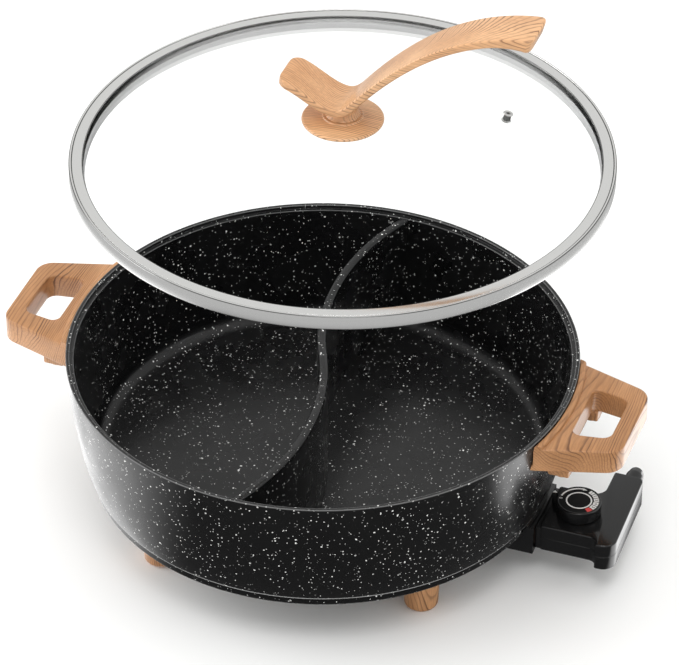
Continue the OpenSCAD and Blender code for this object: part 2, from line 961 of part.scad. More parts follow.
module nose_window() {
    translate([collar_x - eps, -nose_w - fit, nose_z - fit])
        cube([collar_len + case_wall + 2 * eps, 2 * (nose_w + fit),
              nose_top - nose_z + 2 * fit]);
}

module gland_hole() {
    translate([gland_x, head_rear - case_wall - eps, gland_z])
        rotate([-90, 0, 0])
            cylinder(r = gland_neck + fit, h = case_wall + 2 * eps);
}

module control_top_shell() {
    color("#262628")
    difference() {
        union() {
            difference() {
                control_block(split_z, control_top, 0);
                control_block(split_z - eps, control_top - case_wall, case_wall);
            }
            neck_collar(split_z, collar_top);
            for (p = case_screws)
                translate([p.x, p.y, split_z])
                    cylinder(r = case_boss_r, h = control_t - lower_shell_h - eps);
            // Fixed pointer beside the dial
            translate([dial_axis, 0, control_top - eps])
                rotate([0, 0, pointer_angle])
                    linear_extrude(dial_h * 0.9 + eps)
                        polygon([[dial_r + 1, 0], [dial_r + 5, -1.8], [dial_r + 5, 1.8]]);
        }
        nose_window();
        gland_hole();
        translate([dial_axis, 0, split_z])
            cylinder(r = shaft_r + free_gap, h = control_t);
        for (p = case_screws)
            translate([p.x, p.y, split_z - eps])
                cylinder(r = case_screw_r + fit, h = 6 + eps);
    }
}

module control_bottom_shell() {
    color("#1b1b1c")
    difference() {
        union() {
            difference() {
                control_block(control_z, split_z, 0);
                control_block(control_z + case_wall, split_z + eps, case_wall);
            }
            neck_collar(control_z + collar_cut, split_z);
            for (p = case_screws)
                translate([p.x, p.y, control_z])
                    cylinder(r = case_boss_r, h = lower_shell_h);
        }
        nose_window();
        gland_hole();
        for (p = case_screws) {
            translate([p.x, p.y, control_z - eps])
                cylinder(r = case_screw_r + fit, h = lower_shell_h + 2 * eps);
            translate([p.x, p.y, control_z - eps])
                cylinder(r = 2.6, h = 3 + eps);
        }
    }
}

module control_screws() {
    color("#8f8f8c")
    for (p = case_screws)
        translate([p.x, p.y, control_z + 3])
            screw(case_screw_r, lower_shell_h + 2, 2.4, 1.8);
}

module connector_block() {
    flange_x = neck_x + case_wall + fit;
    color("#3b2f2a")
    difference() {
        union() {
            translate([nose_x, -nose_w, nose_z])
                cube([flange_x - nose_x + eps, 2 * nose_w, nose_top - nose_z]);
            translate([flange_x, -flange_w, control_z + case_wall + fit])
                cube([2.6, 2 * flange_w, control_t - 2 * case_wall - 2 * fit]);
        }
        both_sides(terminal_y)
            translate([0, 0, element_z]) {
                rod_x(pin_r + 0.4, nose_x - eps, sleeve_x);
                rod_x(sleeve_r + 0.1, sleeve_x - 0.1, flange_x + 3.2);
            }
        translate([0, 0, probe_z])
            rod_x(probe_r + 0.1, nose_x - eps, flange_x + 3.2);
    }
}

module contact_sleeves() {
    color("#c8a24a")
    both_sides(terminal_y)
        translate([sleeve_x, 0, element_z])
            rotate([0, 90, 0])
                ring(sleeve_r, sleeve_bore, 0, probe_back + 1 - sleeve_x);
}

module temperature_probe() {
    color("#b9b9b4")
    translate([probe_tip, 0, probe_z])
        rotate([0, 90, 0])
            rotate_extrude()
                polygon([
                    [0, 0], [probe_r * 0.6, 0], [probe_r * 0.92, 0.9], [probe_r, 2.2],
                    [probe_r, probe_back - probe_tip], [0, probe_back - probe_tip]
                ]);
}

module thermostat_plate() {
    color("#d8d2c2")
    difference() {
        translate([dial_axis - 9, -11, control_z + case_wall + fit])
            cube([20, 22, 1.6]);
        translate([dial_axis + 6, 0, control_z])
            cylinder(r = 1.7, h = 8);
    }
}

module thermostat_post() {
    color("#e8e2d2")
    translate([dial_axis + 6, 0, control_z + case_wall + fit + 1.6])
        ring(2.6, 1.2, 0, 3.6);
}

module bimetal_leaf() {
    color("#b08d57")
    translate([dial_axis - 8, -3, control_z + case_wall + fit + 5.2])
        cube([17, 6, 0.6]);
}

module contact_leaf() {
    color("#c8a24a")
    union() {
        translate([dial_axis - 8, 5, control_z + case_wall + fit + 1.6])
            cube([1, 4, 3.4]);
        translate([dial_axis - 8, 5, control_z + case_wall + fit + 5])
            cube([16, 4, 0.6]);
    }
}

module cord_gland() {
    color("#101011")
    translate([gland_x, head_rear, gland_z])
        rotate([-90, 0, 0])
            rotate_extrude($fn = 48)
                polygon([
                    [cord_r, -case_wall - 2], [gland_collar, -case_wall - 2],
                    [gland_collar, -case_wall - fit], [gland_neck, -case_wall - fit],
                    [gland_neck, fit], [gland_r, fit], [gland_r, gland_len * 0.55],
                    [gland_r - 0.7, gland_len * 0.78], [gland_r - 1.9, gland_len * 0.95],
                    [cord_r + 0.5, gland_len], [cord_r, gland_len]
                ]);
}

// ---------- Dial ----------
module dial_knob() {
    color("#0d0d0e")
    translate([dial_axis, 0, dial_z])
        difference() {
            rotate_extrude()
                polygon([
                    [0, 0], [dial_r, 0], [dial_r, dial_h - 1],
                    [dial_r - 0.6, dial_h - 0.2], [dial_r - 1, dial_h], [0, dial_h]
                ]);
            translate([0, 0, dial_h - 0.6])
                cylinder(r = dial_r - 1.5, h = 1);
            translate([0, 0, -eps])
                cylinder(r = shaft_r + 0.05, h = 5 + eps);
        }
}

module dial_plate() {
    color("#111112")
    translate([dial_axis, 0, dial_z + dial_h - 0.6])
        cylinder(r = dial_r - 1.5 - 0.1, h = 0.5);
}

module dial_shaft() {
    color("#b9b9b4")
    translate([dial_axis, 0, shaft_bottom])
        cylinder(r = shaft_r, h = dial_z + 5 - shaft_bottom);
}

pot_casting();
heating_element();
terminal_pins();
terminal_insulators();
socket_shroud();
shroud_screws();
front_left_foot();
front_right_foot();
rear_left_foot();
rear_right_foot();
foot_screws();
left_handle();
right_handle();
handle_screws();
lid_glass();
lid_band();
vent_grommet();
collar_gasket();
handle_collar();
lid_handle();
lower_gasket();
lid_washer();
lid_screw();
control_top_shell();
control_bottom_shell();
connector_block();
contact_sleeves();
temperature_probe();
thermostat_plate();
thermostat_post();
bimetal_leaf();
contact_leaf();
control_screws();
cord_gland();
dial_knob();
dial_plate();
dial_shaft();
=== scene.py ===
"""Looks of an electric hot pot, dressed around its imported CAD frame.

The pot is a black granite-coated bowl with an S-shaped divider, wood-look feet and
side handles, a loose domed glass lid and a plug-in control with a dial. The axes are the
frame's own: +Z up, +X towards the control, origin on the floor. Sizes of pieces are in
millimetres and become metres in Solid.piece; shaders and the studio work in metres.
"""

from __future__ import annotations

import logging
import math
from dataclasses import dataclass, field
from enum import Enum
from functools import reduce
from typing import Callable, ClassVar, Sequence, Union

import bmesh
import bpy
from mathutils import Matrix, Vector


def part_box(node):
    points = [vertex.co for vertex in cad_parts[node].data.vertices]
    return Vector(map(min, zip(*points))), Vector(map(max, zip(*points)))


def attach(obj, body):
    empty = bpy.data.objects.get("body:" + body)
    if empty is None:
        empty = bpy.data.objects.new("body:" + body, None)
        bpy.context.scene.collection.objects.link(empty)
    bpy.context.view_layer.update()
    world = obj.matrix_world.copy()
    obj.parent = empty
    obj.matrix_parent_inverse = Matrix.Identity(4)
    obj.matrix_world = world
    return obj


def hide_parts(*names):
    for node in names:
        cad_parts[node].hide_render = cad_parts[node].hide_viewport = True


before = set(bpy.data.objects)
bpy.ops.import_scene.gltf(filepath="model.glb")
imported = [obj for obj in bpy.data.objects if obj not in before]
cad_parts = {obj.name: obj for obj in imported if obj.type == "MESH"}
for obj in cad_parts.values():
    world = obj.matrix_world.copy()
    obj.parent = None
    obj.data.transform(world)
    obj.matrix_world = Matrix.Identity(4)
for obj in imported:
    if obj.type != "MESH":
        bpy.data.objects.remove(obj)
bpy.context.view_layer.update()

LOG = logging.getLogger("hot_pot")
MM = 0.001
PHOTO_WIDTH = 679
TINY = 1e-7
PARALLEL = 1e-9
WELD = 1e-6
FINE_DEPTH = 0.0002

Point2 = tuple[float, float]
Corner = Sequence[float]
Loop = list[Vector]
Triple = tuple[float, float, float]
Socket = bpy.types.NodeSocket
Value = Union[Socket, float, Sequence[float]]
Inputs = dict[Union[str, int], Value]


class Turn(Enum):
    """The two places of a piece that is repeated across the pot's axis."""

    RIGHT = 0.0
    LEFT = math.pi


class Grain(Enum):
    """Ways the printed wood grain runs on a piece, as a stretch of its pattern."""

    ALONG_X = (0.20, 1.0, 1.0)
    ALONG_Y = (1.0, 0.22, 1.0)
    ALONG_Z = (1.0, 1.0, 0.25)


# ---------------------------------------------------------------- outlines


def middle(node: str) -> Vector:
    """Middle of a CAD node's box, in millimetres."""
    low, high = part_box(node)
    return (Vector(low) + Vector(high)) / (2 * MM)


def polar(r: float, angle: float, z: float) -> Vector:
    """Point at a radius, an angle and a height."""
    return Vector((r * math.cos(angle), r * math.sin(angle), z))


def shift(x: float, y: float, z: float) -> Matrix:
    """Move by x, y and z."""
    return Matrix.Translation((x, y, z))


def spin(angle: float, axis: str = "Z") -> Matrix:
    """Turn about an axis, by an angle in radians."""
    return Matrix.Rotation(angle, 4, axis)


def rounded(corners: Sequence[Corner], steps: int = 6) -> list[Point2]:
    """Rounds each corner of an outline by its own radius.

    Args:
        corners: (x, y, radius) of each corner in order, or (x, y) where it stays sharp.
        steps: Stretches of each rounding.

    Returns:
        The outline's points. The same number of corners gives the same number of points.
    """
    out: list[Point2] = []
    for i, (x, y, *radius) in enumerate(corners):
        if not radius or radius[0] <= 0:
            out.append((x, y))
            continue
        corner, r = Vector((x, y)), radius[0]
        u, v = (
            (Vector(corners[j % len(corners)][:2]) - corner).normalized() for j in (i - 1, i + 1)
        )
        half = u.angle(v) / 2
        centre = corner + (u + v).normalized() * (r / math.sin(half))
        first, last = (corner + side * (r / math.tan(half)) - centre for side in (u, v))
        start = math.atan2(first.y, first.x)
        sweep = math.remainder(math.atan2(last.y, last.x) - start, math.tau)
        for k in range(steps + 1):
            out.append(tuple(centre + polar(r, start + sweep * k / steps, 0).xy))
    return out


def bezier(a: Point2, b: Point2, c: Point2, d: Point2, steps: int) -> list[Vector]:
    """Points of a cubic curve after its first one.

    Args:
        a: First point.
        b: Point that the start heads for.
        c: Point that the end comes from.
        d: Last point.
        steps: Number of stretches.

    Returns:
        The points, without the first one.
    """
    a, b, c, d = (Vector(p) for p in (a, b, c, d))
    out = []
    for i in range(1, steps + 1):
        t, s = i / steps, 1 - i / steps
        out.append(s**3 * a + 3 * s * s * t * b + 3 * s * t * t * c + t**3 * d)
    return out


def edge_steps(radius: float, steps: int = 4) -> list[Point2]:
    """Insets and drops that round an edge.

    Args:
        radius: Radius of the rounding.
        steps: Stretches of it.

    Returns:
        Pairs of inset and distance below the face, from the side up to the face.
    """
    angles = [math.pi / 2 * i / steps for i in range(steps + 1)]
    return [(radius * (1 - math.cos(a)), radius * (1 - math.sin(a))) for a in angles]


# ---------------------------------------------------------------- meshes


def linked(name: str, data: bpy.types.ID) -> bpy.types.Object:
    """Puts data into the scene as an object at the origin.

    Args:
        name: The object's name.
        data: Its mesh, curve, camera or light.

    Returns:
        The object.
    """
    thing = bpy.data.objects.new(name, data)
    bpy.context.collection.objects.link(thing)
    return thing


class Solid:
    """A mesh in millimetres, built from loops, lathed outlines and stacked plans."""

    def __init__(self) -> None:
        """Starts an empty mesh."""
        self.bm = bmesh.new()

    def loft(self, loops: Sequence[Loop], closed: bool = False, caps: bool = True) -> None:
        """Skins loops of equal length.

        Args:
            loops: The loops in order.
            closed: True where the last loop joins the first.
            caps: True where the first and last loops get a face.
        """
        rows = [[self.bm.verts.new(p) for p in loop] for loop in loops]
        count = len(rows[0])
        pairs = list(zip(rows, rows[1:])) + ([(rows[-1], rows[0])] if closed else [])
        for low, high in pairs:
            for i in range(count):
                j = (i + 1) % count
                self.bm.faces.new((low[i], low[j], high[j], high[i]))
        if caps and not closed:
            self.bm.faces.new(list(reversed(rows[0])))
            self.bm.faces.new(rows[-1])

    def lathe(
        self,
        profile: Sequence[Point2],
        steps: int = 192,
        start: float = 0.0,
        sweep: float = math.tau,
    ) -> None:
        """Turns a closed outline about Z.

        Args:
            profile: Outline as (radius, height) pairs.
            steps: Stretches of the turn.
            start: Angle where it begins.
            sweep: Angle that it covers.
        """
        whole = abs(sweep - math.tau) < TINY
        angles = [start + sweep * i / steps for i in range(steps if whole else steps + 1)]
        loops = [[polar(r, a, z) for r, z in profile] for a in angles]
        self.loft(loops, closed=whole, caps=not whole)

    def stack(
        self, plan: Callable[[float], Sequence[Point2]], layers: Sequence[Point2]
    ) -> None:
        """Skins a plan at several heights.

        Args:
            plan: Gives the plan's points for an inset.
            layers: Inset and height of each layer.
        """
        self.loft([[Vector((x, y, z)) for x, y in plan(d)] for d, z in layers])

    def block(self, low: Sequence[float], high: Sequence[float], edge: float) -> None:
        """Adds a box with rounded upright edges and rounded rims.

        Args:
            low: Lowest corner.
            high: Highest corner.
            edge: Radius of the rounding.
        """

        def plan(d: float) -> list[Point2]:
            """The box seen from above, drawn in by d."""
            x0, y0, x1, y1 = low[0] + d, low[1] + d, high[0] - d, high[1] - d
            return rounded([(x, y, edge * 1.4) for x, y in ((x0, y0), (x1, y0), (x1, y1), (x0, y1))], 4)

        rims = edge_steps(edge, 3)
        self.stack(
            plan, [(d, low[2] + h) for d, h in reversed(rims)] + [(d, high[2] - h) for d, h in rims]
        )

    def move(self, matrix: Matrix, first: int = 0) -> None:
        """Moves the points from number first on.

        Args:
            matrix: The move.
            first: Number of the first point that moves.
        """
        self.bm.verts.ensure_lookup_table()
        for v in list(self.bm.verts)[first:]:
            v.co = matrix @ v.co

    def spool(self, profile: Sequence[Point2], steps: int, matrix: Matrix) -> None:
        """Lathes an outline and moves only that.

        Args:
            profile: Outline as (radius, height) pairs.
            steps: Stretches of the turn.
            matrix: The move.
        """
        first = len(self.bm.verts)
        self.lathe(profile, steps)
        self.move(matrix, first)

    def piece(self, name: str, sharp: float = 35.0) -> bpy.types.Object:
        """Finishes the mesh in metres as an object at the origin.

        Args:
            name: The object's name.
            sharp: Angle in degrees past which an edge stays crisp.

        Returns:
            The object, linked to the scene.
        """
        bmesh.ops.scale(self.bm, vec=(MM, MM, MM), verts=self.bm.verts)
        bmesh.ops.remove_doubles(self.bm, verts=self.bm.verts, dist=WELD)
        bmesh.ops.dissolve_degenerate(self.bm, edges=self.bm.edges, dist=WELD / 2)
        bmesh.ops.recalc_face_normals(self.bm, faces=self.bm.faces)
        mesh = bpy.data.meshes.new(name)
        self.bm.to_mesh(mesh)
        self.bm.free()
        mesh.shade_smooth()
        mesh.set_sharp_from_angle(angle=math.radians(sharp))
        return linked(name, mesh)


def turned(
    name: str, corners: Sequence[Corner], soft: int, steps: int, matrix: Matrix, sharp: float = 35.0
) -> bpy.types.Object:
    """Makes a piece by turning a rounded outline about Z.

    Args:
        name: The piece's name.
        corners: Corners as (radius, height, rounding).
        soft: Stretches of each rounding.
        steps: Stretches of the turn.
        matrix: Move to the piece's place.
        sharp: Angle in degrees past which an edge stays crisp.

    Returns:
        The piece.
    """
    solid = Solid()
    solid.spool(rounded(corners, soft), steps, matrix)
    return solid.piece(name, sharp)


def baked(thing: bpy.types.Object) -> bpy.types.Mesh:
    """The object's mesh with its modifiers applied, as a mesh of its own.

    Args:
        thing: The object.

    Returns:
        The mesh.
    """
    graph = bpy.context.evaluated_depsgraph_get()
    graph.update()
    return bpy.data.meshes.new_from_object(thing.evaluated_get(graph))


def dressed_copy(node: str, name: str, edge: float) -> bpy.types.Object:
    """Copies a CAD node's mesh, merges it and rounds its edges a little.

    Args:
        node: The CAD node.
        name: Name of the copy.
        edge: Width of the rounding.

    Returns:
        The copy, as an object of its own.
    """
    bm = bmesh.new()
    bm.from_mesh(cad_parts[node].data)
    bmesh.ops.remove_doubles(bm, verts=bm.verts, dist=2 * WELD)
    bmesh.ops.dissolve_limit(
        bm, angle_limit=math.radians(1.5), verts=bm.verts, edges=bm.edges, use_dissolve_boundaries=False
    )
    mesh = bpy.data.meshes.new(name)
    bm.to_mesh(mesh)
    bm.free()
    mesh.shade_smooth()
    thing = linked(name, mesh)
    bevel = thing.modifiers.new("edge", "BEVEL")
    bevel.width = edge * MM
    bevel.segments = 2
    bevel.limit_method = "ANGLE"
    bevel.angle_limit = math.radians(40)
    bevel.harden_normals = False
    thing.data = baked(thing)
    thing.modifiers.clear()
    thing.data.set_sharp_from_angle(angle=math.radians(50))
    return thing


def merged(first: bpy.types.Object, others: Sequence[bpy.types.Object]) -> bpy.types.Object:
    """Joins meshes into the first one and removes the rest.

    Args:
        first: The object that stays.
        others: The objects that go into it.

    Returns:
        The first object.
    """
    bm = bmesh.new()
    bm.from_mesh(first.data)
    for thing in others:
        bm.from_mesh(thing.data)
        bpy.data.objects.remove(thing)
    bm.to_mesh(first.data)
    bm.free()
    return first


# ---------------------------------------------------------------- shader nodes


def rgba(color: Sequence[float]) -> tuple[float, ...]:
    """A colour with its alpha."""
    return (*color, 1.0)


class Graph:
    """Writes nodes into a material or a node group."""

    def __init__(self, tree: bpy.types.NodeTree) -> None:
        """Takes over an emptied tree."""
        self.tree = tree
        tree.nodes.clear()

    def feed(self, node: bpy.types.Node, inputs: Inputs) -> bpy.types.Node:
        """Sets a node's inputs by name or number, to values or to sockets that are linked.

        Args:
            node: The node.
            inputs: Values, or sockets to link, by input name or number.

        Returns:
            The node.
        """
        for key, value in inputs.items():
            if isinstance(value, Socket):
                self.tree.links.new(value, node.inputs[key])
            else:
                node.inputs[key].default_value = value
        return node

    def add(self, kind: str, inputs: Inputs | None = None, **settings: object) -> bpy.types.Node:
        """Adds a node.

        Args:
            kind: The node's type.
            inputs: Values, or sockets to link, by input name or number.
            **settings: The node's own properties.

        Returns:
            The new node.
        """
        node = self.tree.nodes.new(kind)
        for key, value in settings.items():
            setattr(node, key, value)
        return self.feed(node, inputs or {})

    def group(self, tree: bpy.types.NodeTree, inputs: Inputs) -> bpy.types.NodeOutputs:
        """Outputs of a node group that is given these inputs."""
        return self.feed(self.add("ShaderNodeGroup", node_tree=tree), inputs).outputs

    def math(self, operation: str, *values: Value, clamp: bool = False) -> Socket:
        """A Math node's result for values or sockets."""
        node = self.add(
            "ShaderNodeMath", dict(enumerate(values)), operation=operation, use_clamp=clamp
        )
        return node.outputs[0]

    def most(self, masks: Sequence[Value]) -> Value:
        """The largest of several masks, or 0 where there is none."""
        return reduce(lambda low, high: self.math("MAXIMUM", low, high), masks) if masks else 0.0

    def length(self, vector: Socket) -> Socket:
        """Length of a vector."""
        return self.add("ShaderNodeVectorMath", {0: vector}, operation="LENGTH").outputs["Value"]

    def mix(self, factor: Value, low: Value, high: Value) -> Socket:
        """A mix of two colours, as a socket."""
        node = self.add("ShaderNodeMix", {0: factor, 6: low, 7: high}, data_type="RGBA")
        return node.outputs[2]

    def blend(
        self, factor: Value, low: bpy.types.Node, high: bpy.types.Node
    ) -> bpy.types.Node:
        """A mix of two shaders."""
        return self.add("ShaderNodeMixShader", {0: factor, 1: low.outputs[0], 2: high.outputs[0]})

    def spread(
        self, value: Value, low: float, high: float, to_low: float = 0.0, to_high: float = 1.0
    ) -> Socket:
        """Maps a value from one range to another, smoothly and clamped."""
        ends = {0: value, 1: low, 2: high, 3: to_low, 4: to_high}
        return self.add("ShaderNodeMapRange", ends, interpolation_type="SMOOTHSTEP").outputs[0]

    def place(self, scale: Sequence[float] = (1, 1, 1), offset: Sequence[float] = (0, 0, 0)) -> Socket:
        """Object coordinates, scaled and moved by an offset.

        Args:
            scale: Stretch of each axis.
            offset: Move after the stretch.

        Returns:
            The place.
        """
        where = self.add("ShaderNodeTexCoord").outputs["Object"]
        node = self.add("ShaderNodeMapping", {"Vector": where, "Scale": scale, "Location": offset})
        return node.outputs[0]

    def round_z(self, place: Socket) -> tuple[Socket, Socket]:
        """Distance of a place from the Z axis, and its height.

        Args:
            place: The place.

        Returns:
            The distance and the height.
        """
        parts = self.add("ShaderNodeSeparateXYZ", {0: place}).outputs
        flat = self.add("ShaderNodeCombineXYZ", {0: parts[0], 1: parts[1]})
        return self.length(flat.outputs[0]), parts[2]

    def noise(
        self, vector: Value, scale: Value, detail: float = 2.0, rough: float = 0.5
    ) -> Socket:
        """A noise texture's value."""
        inputs = {"Vector": vector, "Scale": scale, "Detail": detail, "Roughness": rough}
        return self.add("ShaderNodeTexNoise", inputs).outputs[0]

    def bump(self, height: Value, strength: float, distance: float = FINE_DEPTH) -> Socket:
        """A normal from a height."""
        inputs = {"Height": height, "Strength": strength, "Distance": distance}
        return self.add("ShaderNodeBump", inputs).outputs[0]


def shader_group(
    name: str, inputs: dict[str, float | None], fill: Callable[..., dict[str, Socket]]
) -> bpy.types.NodeTree:
    """Makes a shader node group once and returns it after that.

    Args:
        name: The group's name.
        inputs: Default by input name; None makes a vector input.
        fill: Takes the graph and the input sockets, and returns each output's socket by name.

    Returns:
        The node group.
    """
    if name in bpy.data.node_groups:
        return bpy.data.node_groups[name]
    tree = bpy.data.node_groups.new(name, "ShaderNodeTree")
    for key, value in inputs.items():
        kind = "NodeSocketVector" if value is None else "NodeSocketFloat"
        socket = tree.interface.new_socket(name=key, in_out="INPUT", socket_type=kind)
        if value is not None:
            socket.default_value = value
    graph = Graph(tree)
    results = fill(graph, graph.add("NodeGroupInput").outputs)
    for key in results:
        tree.interface.new_socket(name=key, in_out="OUTPUT", socket_type="NodeSocketFloat")
    graph.add("NodeGroupOutput", results)
    return tree


def specks_group() -> bpy.types.NodeTree:
    """Irregular pale specks: one speck in some of a pattern's cells."""

    def fill(g: Graph, given: bpy.types.NodeOutputs) -> dict[str, Socket]:
        """Writes the group's nodes.

        Args:
            g: The group's graph.
            given: Its input sockets.

        Returns:
            The result of each output, by name.
        """
        wobble = g.add("ShaderNodeTexNoise", {"Vector": given["Place"], "Scale": 900.0, "Detail": 1.0})
        shaken = g.add(
            "ShaderNodeVectorMath",
            {0: wobble.outputs["Color"], 1: (0.0009,) * 3, 2: given["Place"]},
            operation="MULTIPLY_ADD",
        ).outputs[0]
        cells = g.add("ShaderNodeTexVoronoi", {"Vector": shaken, "Scale": given["Cells per metre"]})
        chance = g.add("ShaderNodeSeparateColor", {0: cells.outputs["Color"]}).outputs
        size = g.math("MULTIPLY", g.math("POWER", chance[0], 1.8), given["Largest size"])
        inside = g.math("SUBTRACT", size, cells.outputs["Distance"])
        shown = g.math("LESS_THAN", chance[1], given["Share of cells"])
        mask = g.math("MULTIPLY", g.spread(inside, 0.0, 0.04), shown)
        return {"Speck": g.math("MULTIPLY", mask, g.spread(chance[2], 0.0, 0.8, 0.40))}

    inputs = {"Place": None, "Cells per metre": 300.0, "Largest size": 0.3, "Share of cells": 0.5}
    return shader_group("Coat specks", inputs, fill)


def grain_group() -> bpy.types.NodeTree:
    """Printed wood: thin growth lines round a far stem, bent by slow noise."""

    def fill(g: Graph, given: bpy.types.NodeOutputs) -> dict[str, Socket]:
        """Writes the group's nodes.

        Args:
            g: The group's graph.
            given: Its input sockets.

        Returns:
            The result of each output, by name.
        """
        place = given["Place"]
        swell = g.noise(place, given["Bends per metre"], 1.5, 0.35)
        reach = g.math("MULTIPLY", g.length(place), given["Lines per metre"])
        rings = g.math(
            "MULTIPLY_ADD", g.noise(place, 150.0), 0.9,
            g.math("MULTIPLY_ADD", swell, given["Lines a bend"], reach),
        )
        phase = g.math("FRACT", rings)
        rise = g.math("POWER", g.spread(phase, 0.34, 0.84), 3.2)
        band = g.math("MULTIPLY", rise, g.spread(phase, 0.88, 1.0, 1.0, 0.0))
        which = g.add("ShaderNodeTexWhiteNoise", {"W": g.math("FLOOR", rings)}, noise_dimensions="1D")
        strength = g.math(
            "MULTIPLY", g.spread(g.noise(place, 40.0, 2.0, 0.6), 0.32, 0.60, 0.35),
            g.spread(which.outputs[0], 0.0, 1.0, 0.45),
        )
        along = g.add("ShaderNodeVectorMath", {0: place, 1: given["Along"]}, operation="MULTIPLY")
        return {
            "Line": g.math("MULTIPLY", band, strength),
            "Tone": g.noise(place, 30.0),
            "Fibre": g.noise(along.outputs[0], 900.0, 3.0, 0.62),
        }

    inputs = {
        "Place": None, "Along": None, "Bends per metre": 24.0, "Lines a bend": 14.0,
        "Lines per metre": 400.0,
    }
    return shader_group("Printed grain", inputs, fill)


def surface_group() -> bpy.types.NodeTree:
    """Fine surface of a moulding or a coat: a height, and an uneven sheen."""

    def fill(g: Graph, given: bpy.types.NodeOutputs) -> dict[str, Socket]:
        """Writes the group's nodes.

        Args:
            g: The group's graph.
            given: Its input sockets.

        Returns:
            The result of each output, by name.
        """
        return {
            "Height": g.noise(given["Place"], given["Fine per metre"], 2.0, 0.6),
            "Smear": g.noise(given["Place"], given["Smears per metre"], 3.0, 0.55),
        }

    inputs = {"Place": None, "Fine per metre": 2500.0, "Smears per metre": 30.0}
    return shader_group("Fine surface", inputs, fill)


# ---------------------------------------------------------------- finishes


@dataclass(frozen=True)
class Finish:
    """A finish that writes its own material once."""

    name: str
    color: Triple = (0.5, 0.5, 0.5)
    roughness: float = 0.4
    metallic: float = 0.0
    specular: float = 0.5
    made: ClassVar[dict[str, bpy.types.Material]] = {}

    def material(self) -> bpy.types.Material:
        """The finish's material."""
        if self.name not in self.made:
            mat = bpy.data.materials.new(self.name)
            mat.use_nodes = True
            mat.diffuse_color = rgba(self.color)
            g = Graph(mat.node_tree)
            shader = g.add(
                "ShaderNodeBsdfPrincipled",
                {"Base Color": rgba(self.color), "Roughness": self.roughness,
                 "Metallic": self.metallic, "Specular IOR Level": self.specular},
            )
            self.detail(g, shader)
            g.add("ShaderNodeOutputMaterial", {0: self.surface(g, shader).outputs[0]})
            self.made[self.name] = mat
        return self.made[self.name]

    def detail(self, g: Graph, shader: bpy.types.Node) -> None:
        """Adds the fine surface that every plain finish has."""
        self.vary(g, shader, g.group(surface_group(), {"Place": g.place()}), 0.06, 0.05)

    def vary(
        self, g: Graph, shader: bpy.types.Node, fine: bpy.types.NodeOutputs, smear: float, bump: float
    ) -> None:
        """Feeds the fine surface into roughness and normal.

        Args:
            g: The material's graph.
            shader: Its Principled shader.
            fine: The fine surface's outputs.
            smear: How far roughness swings.
            bump: Strength of the bump.
        """
        ends = (self.roughness - smear, self.roughness + smear)
        rough = g.spread(fine["Smear"], 0.3, 0.7, *ends)
        g.feed(shader, {"Roughness": rough, "Normal": g.bump(fine["Height"], bump)})

    def surface(self, g: Graph, shader: bpy.types.Node) -> bpy.types.Node:
        """The node that the output shows."""
        return shader

    def dress(self, thing: bpy.types.Object) -> None:
        """Gives a whole object this finish.

        Args:
            thing: The object.
        """
        if not thing.data.materials:
            thing.data.materials.append(self.material())
        for number in range(len(thing.data.materials)):
            thing.data.materials[number] = self.material()


@dataclass(frozen=True)
class WearAndHighlightRing:
    """A pale ring painted on the coat, partly thin worn coat and partly painted highlight, with its
    place and width in millimetres.
    """

    radius: float
    height: float
    width: float
    share: float

    def mask(self, g: Graph, reach: Socket, height: Socket) -> Socket:
        """How much of the pale ring, wear and painted highlight, a place gets, from its distance to the
        ring.

        Args:
            g: The material's graph.
            reach: Distance of the place from the Z axis.
            height: Its height.

        Returns:
            The mask.
        """
        across = g.math("SUBTRACT", reach, self.radius * MM)
        up = g.math("SUBTRACT", height, self.height * MM)
        square = g.math("MULTIPLY_ADD", across, across, g.math("MULTIPLY", up, up))
        width = self.width * MM
        return g.spread(g.math("SQRT", square), width * 0.5, width, self.share, 0.0)


@dataclass(frozen=True)
class GraniteCoat(Finish):
    """Black non-stick coat with pale stone specks, and pale rings at its edges that are partly wear and
    partly painted highlight.
    """

    speck_color: Triple = (0.88, 0.88, 0.86)
    wear_and_highlight_color: Triple = (0.50, 0.50, 0.50)
    specks: tuple[Triple, ...] = ((400.0, 0.28, 0.56), (700.0, 0.34, 0.40), (230.0, 0.20, 0.25))
    # Rings painted pale along the base band and the rim: partly wear, partly painted highlight lines.
    edges: tuple[WearAndHighlightRing, ...] = ()

    def detail(self, g: Graph, shader: bpy.types.Node) -> None:
        """Scatters three sizes of specks, paints the pale edge rings (partly wear, partly painted
        highlight) and adds a fine pebbled surface.

        Args:
            g: The material's graph.
            shader: Its Principled shader.
        """
        place = g.place()
        names = ("Cells per metre", "Largest size", "Share of cells")
        specks = [
            g.group(specks_group(), {"Place": place, **dict(zip(names, sizes))})["Speck"]
            for sizes in self.specks
        ]
        color = g.mix(g.most(specks), rgba(self.color), rgba(self.speck_color))
        where = g.round_z(place)
        # Painted highlight and wear: pale rings along the base band and the rim edges.
        wear_and_highlight = g.most([edge.mask(g, *where) for edge in self.edges])
        g.feed(shader, {"Base Color": g.mix(wear_and_highlight, color, rgba(self.wear_and_highlight_color))})
        fine = g.group(surface_group(), {"Place": place, "Fine per metre": 1500.0})
        self.vary(g, shader, fine, 0.05, 0.10)


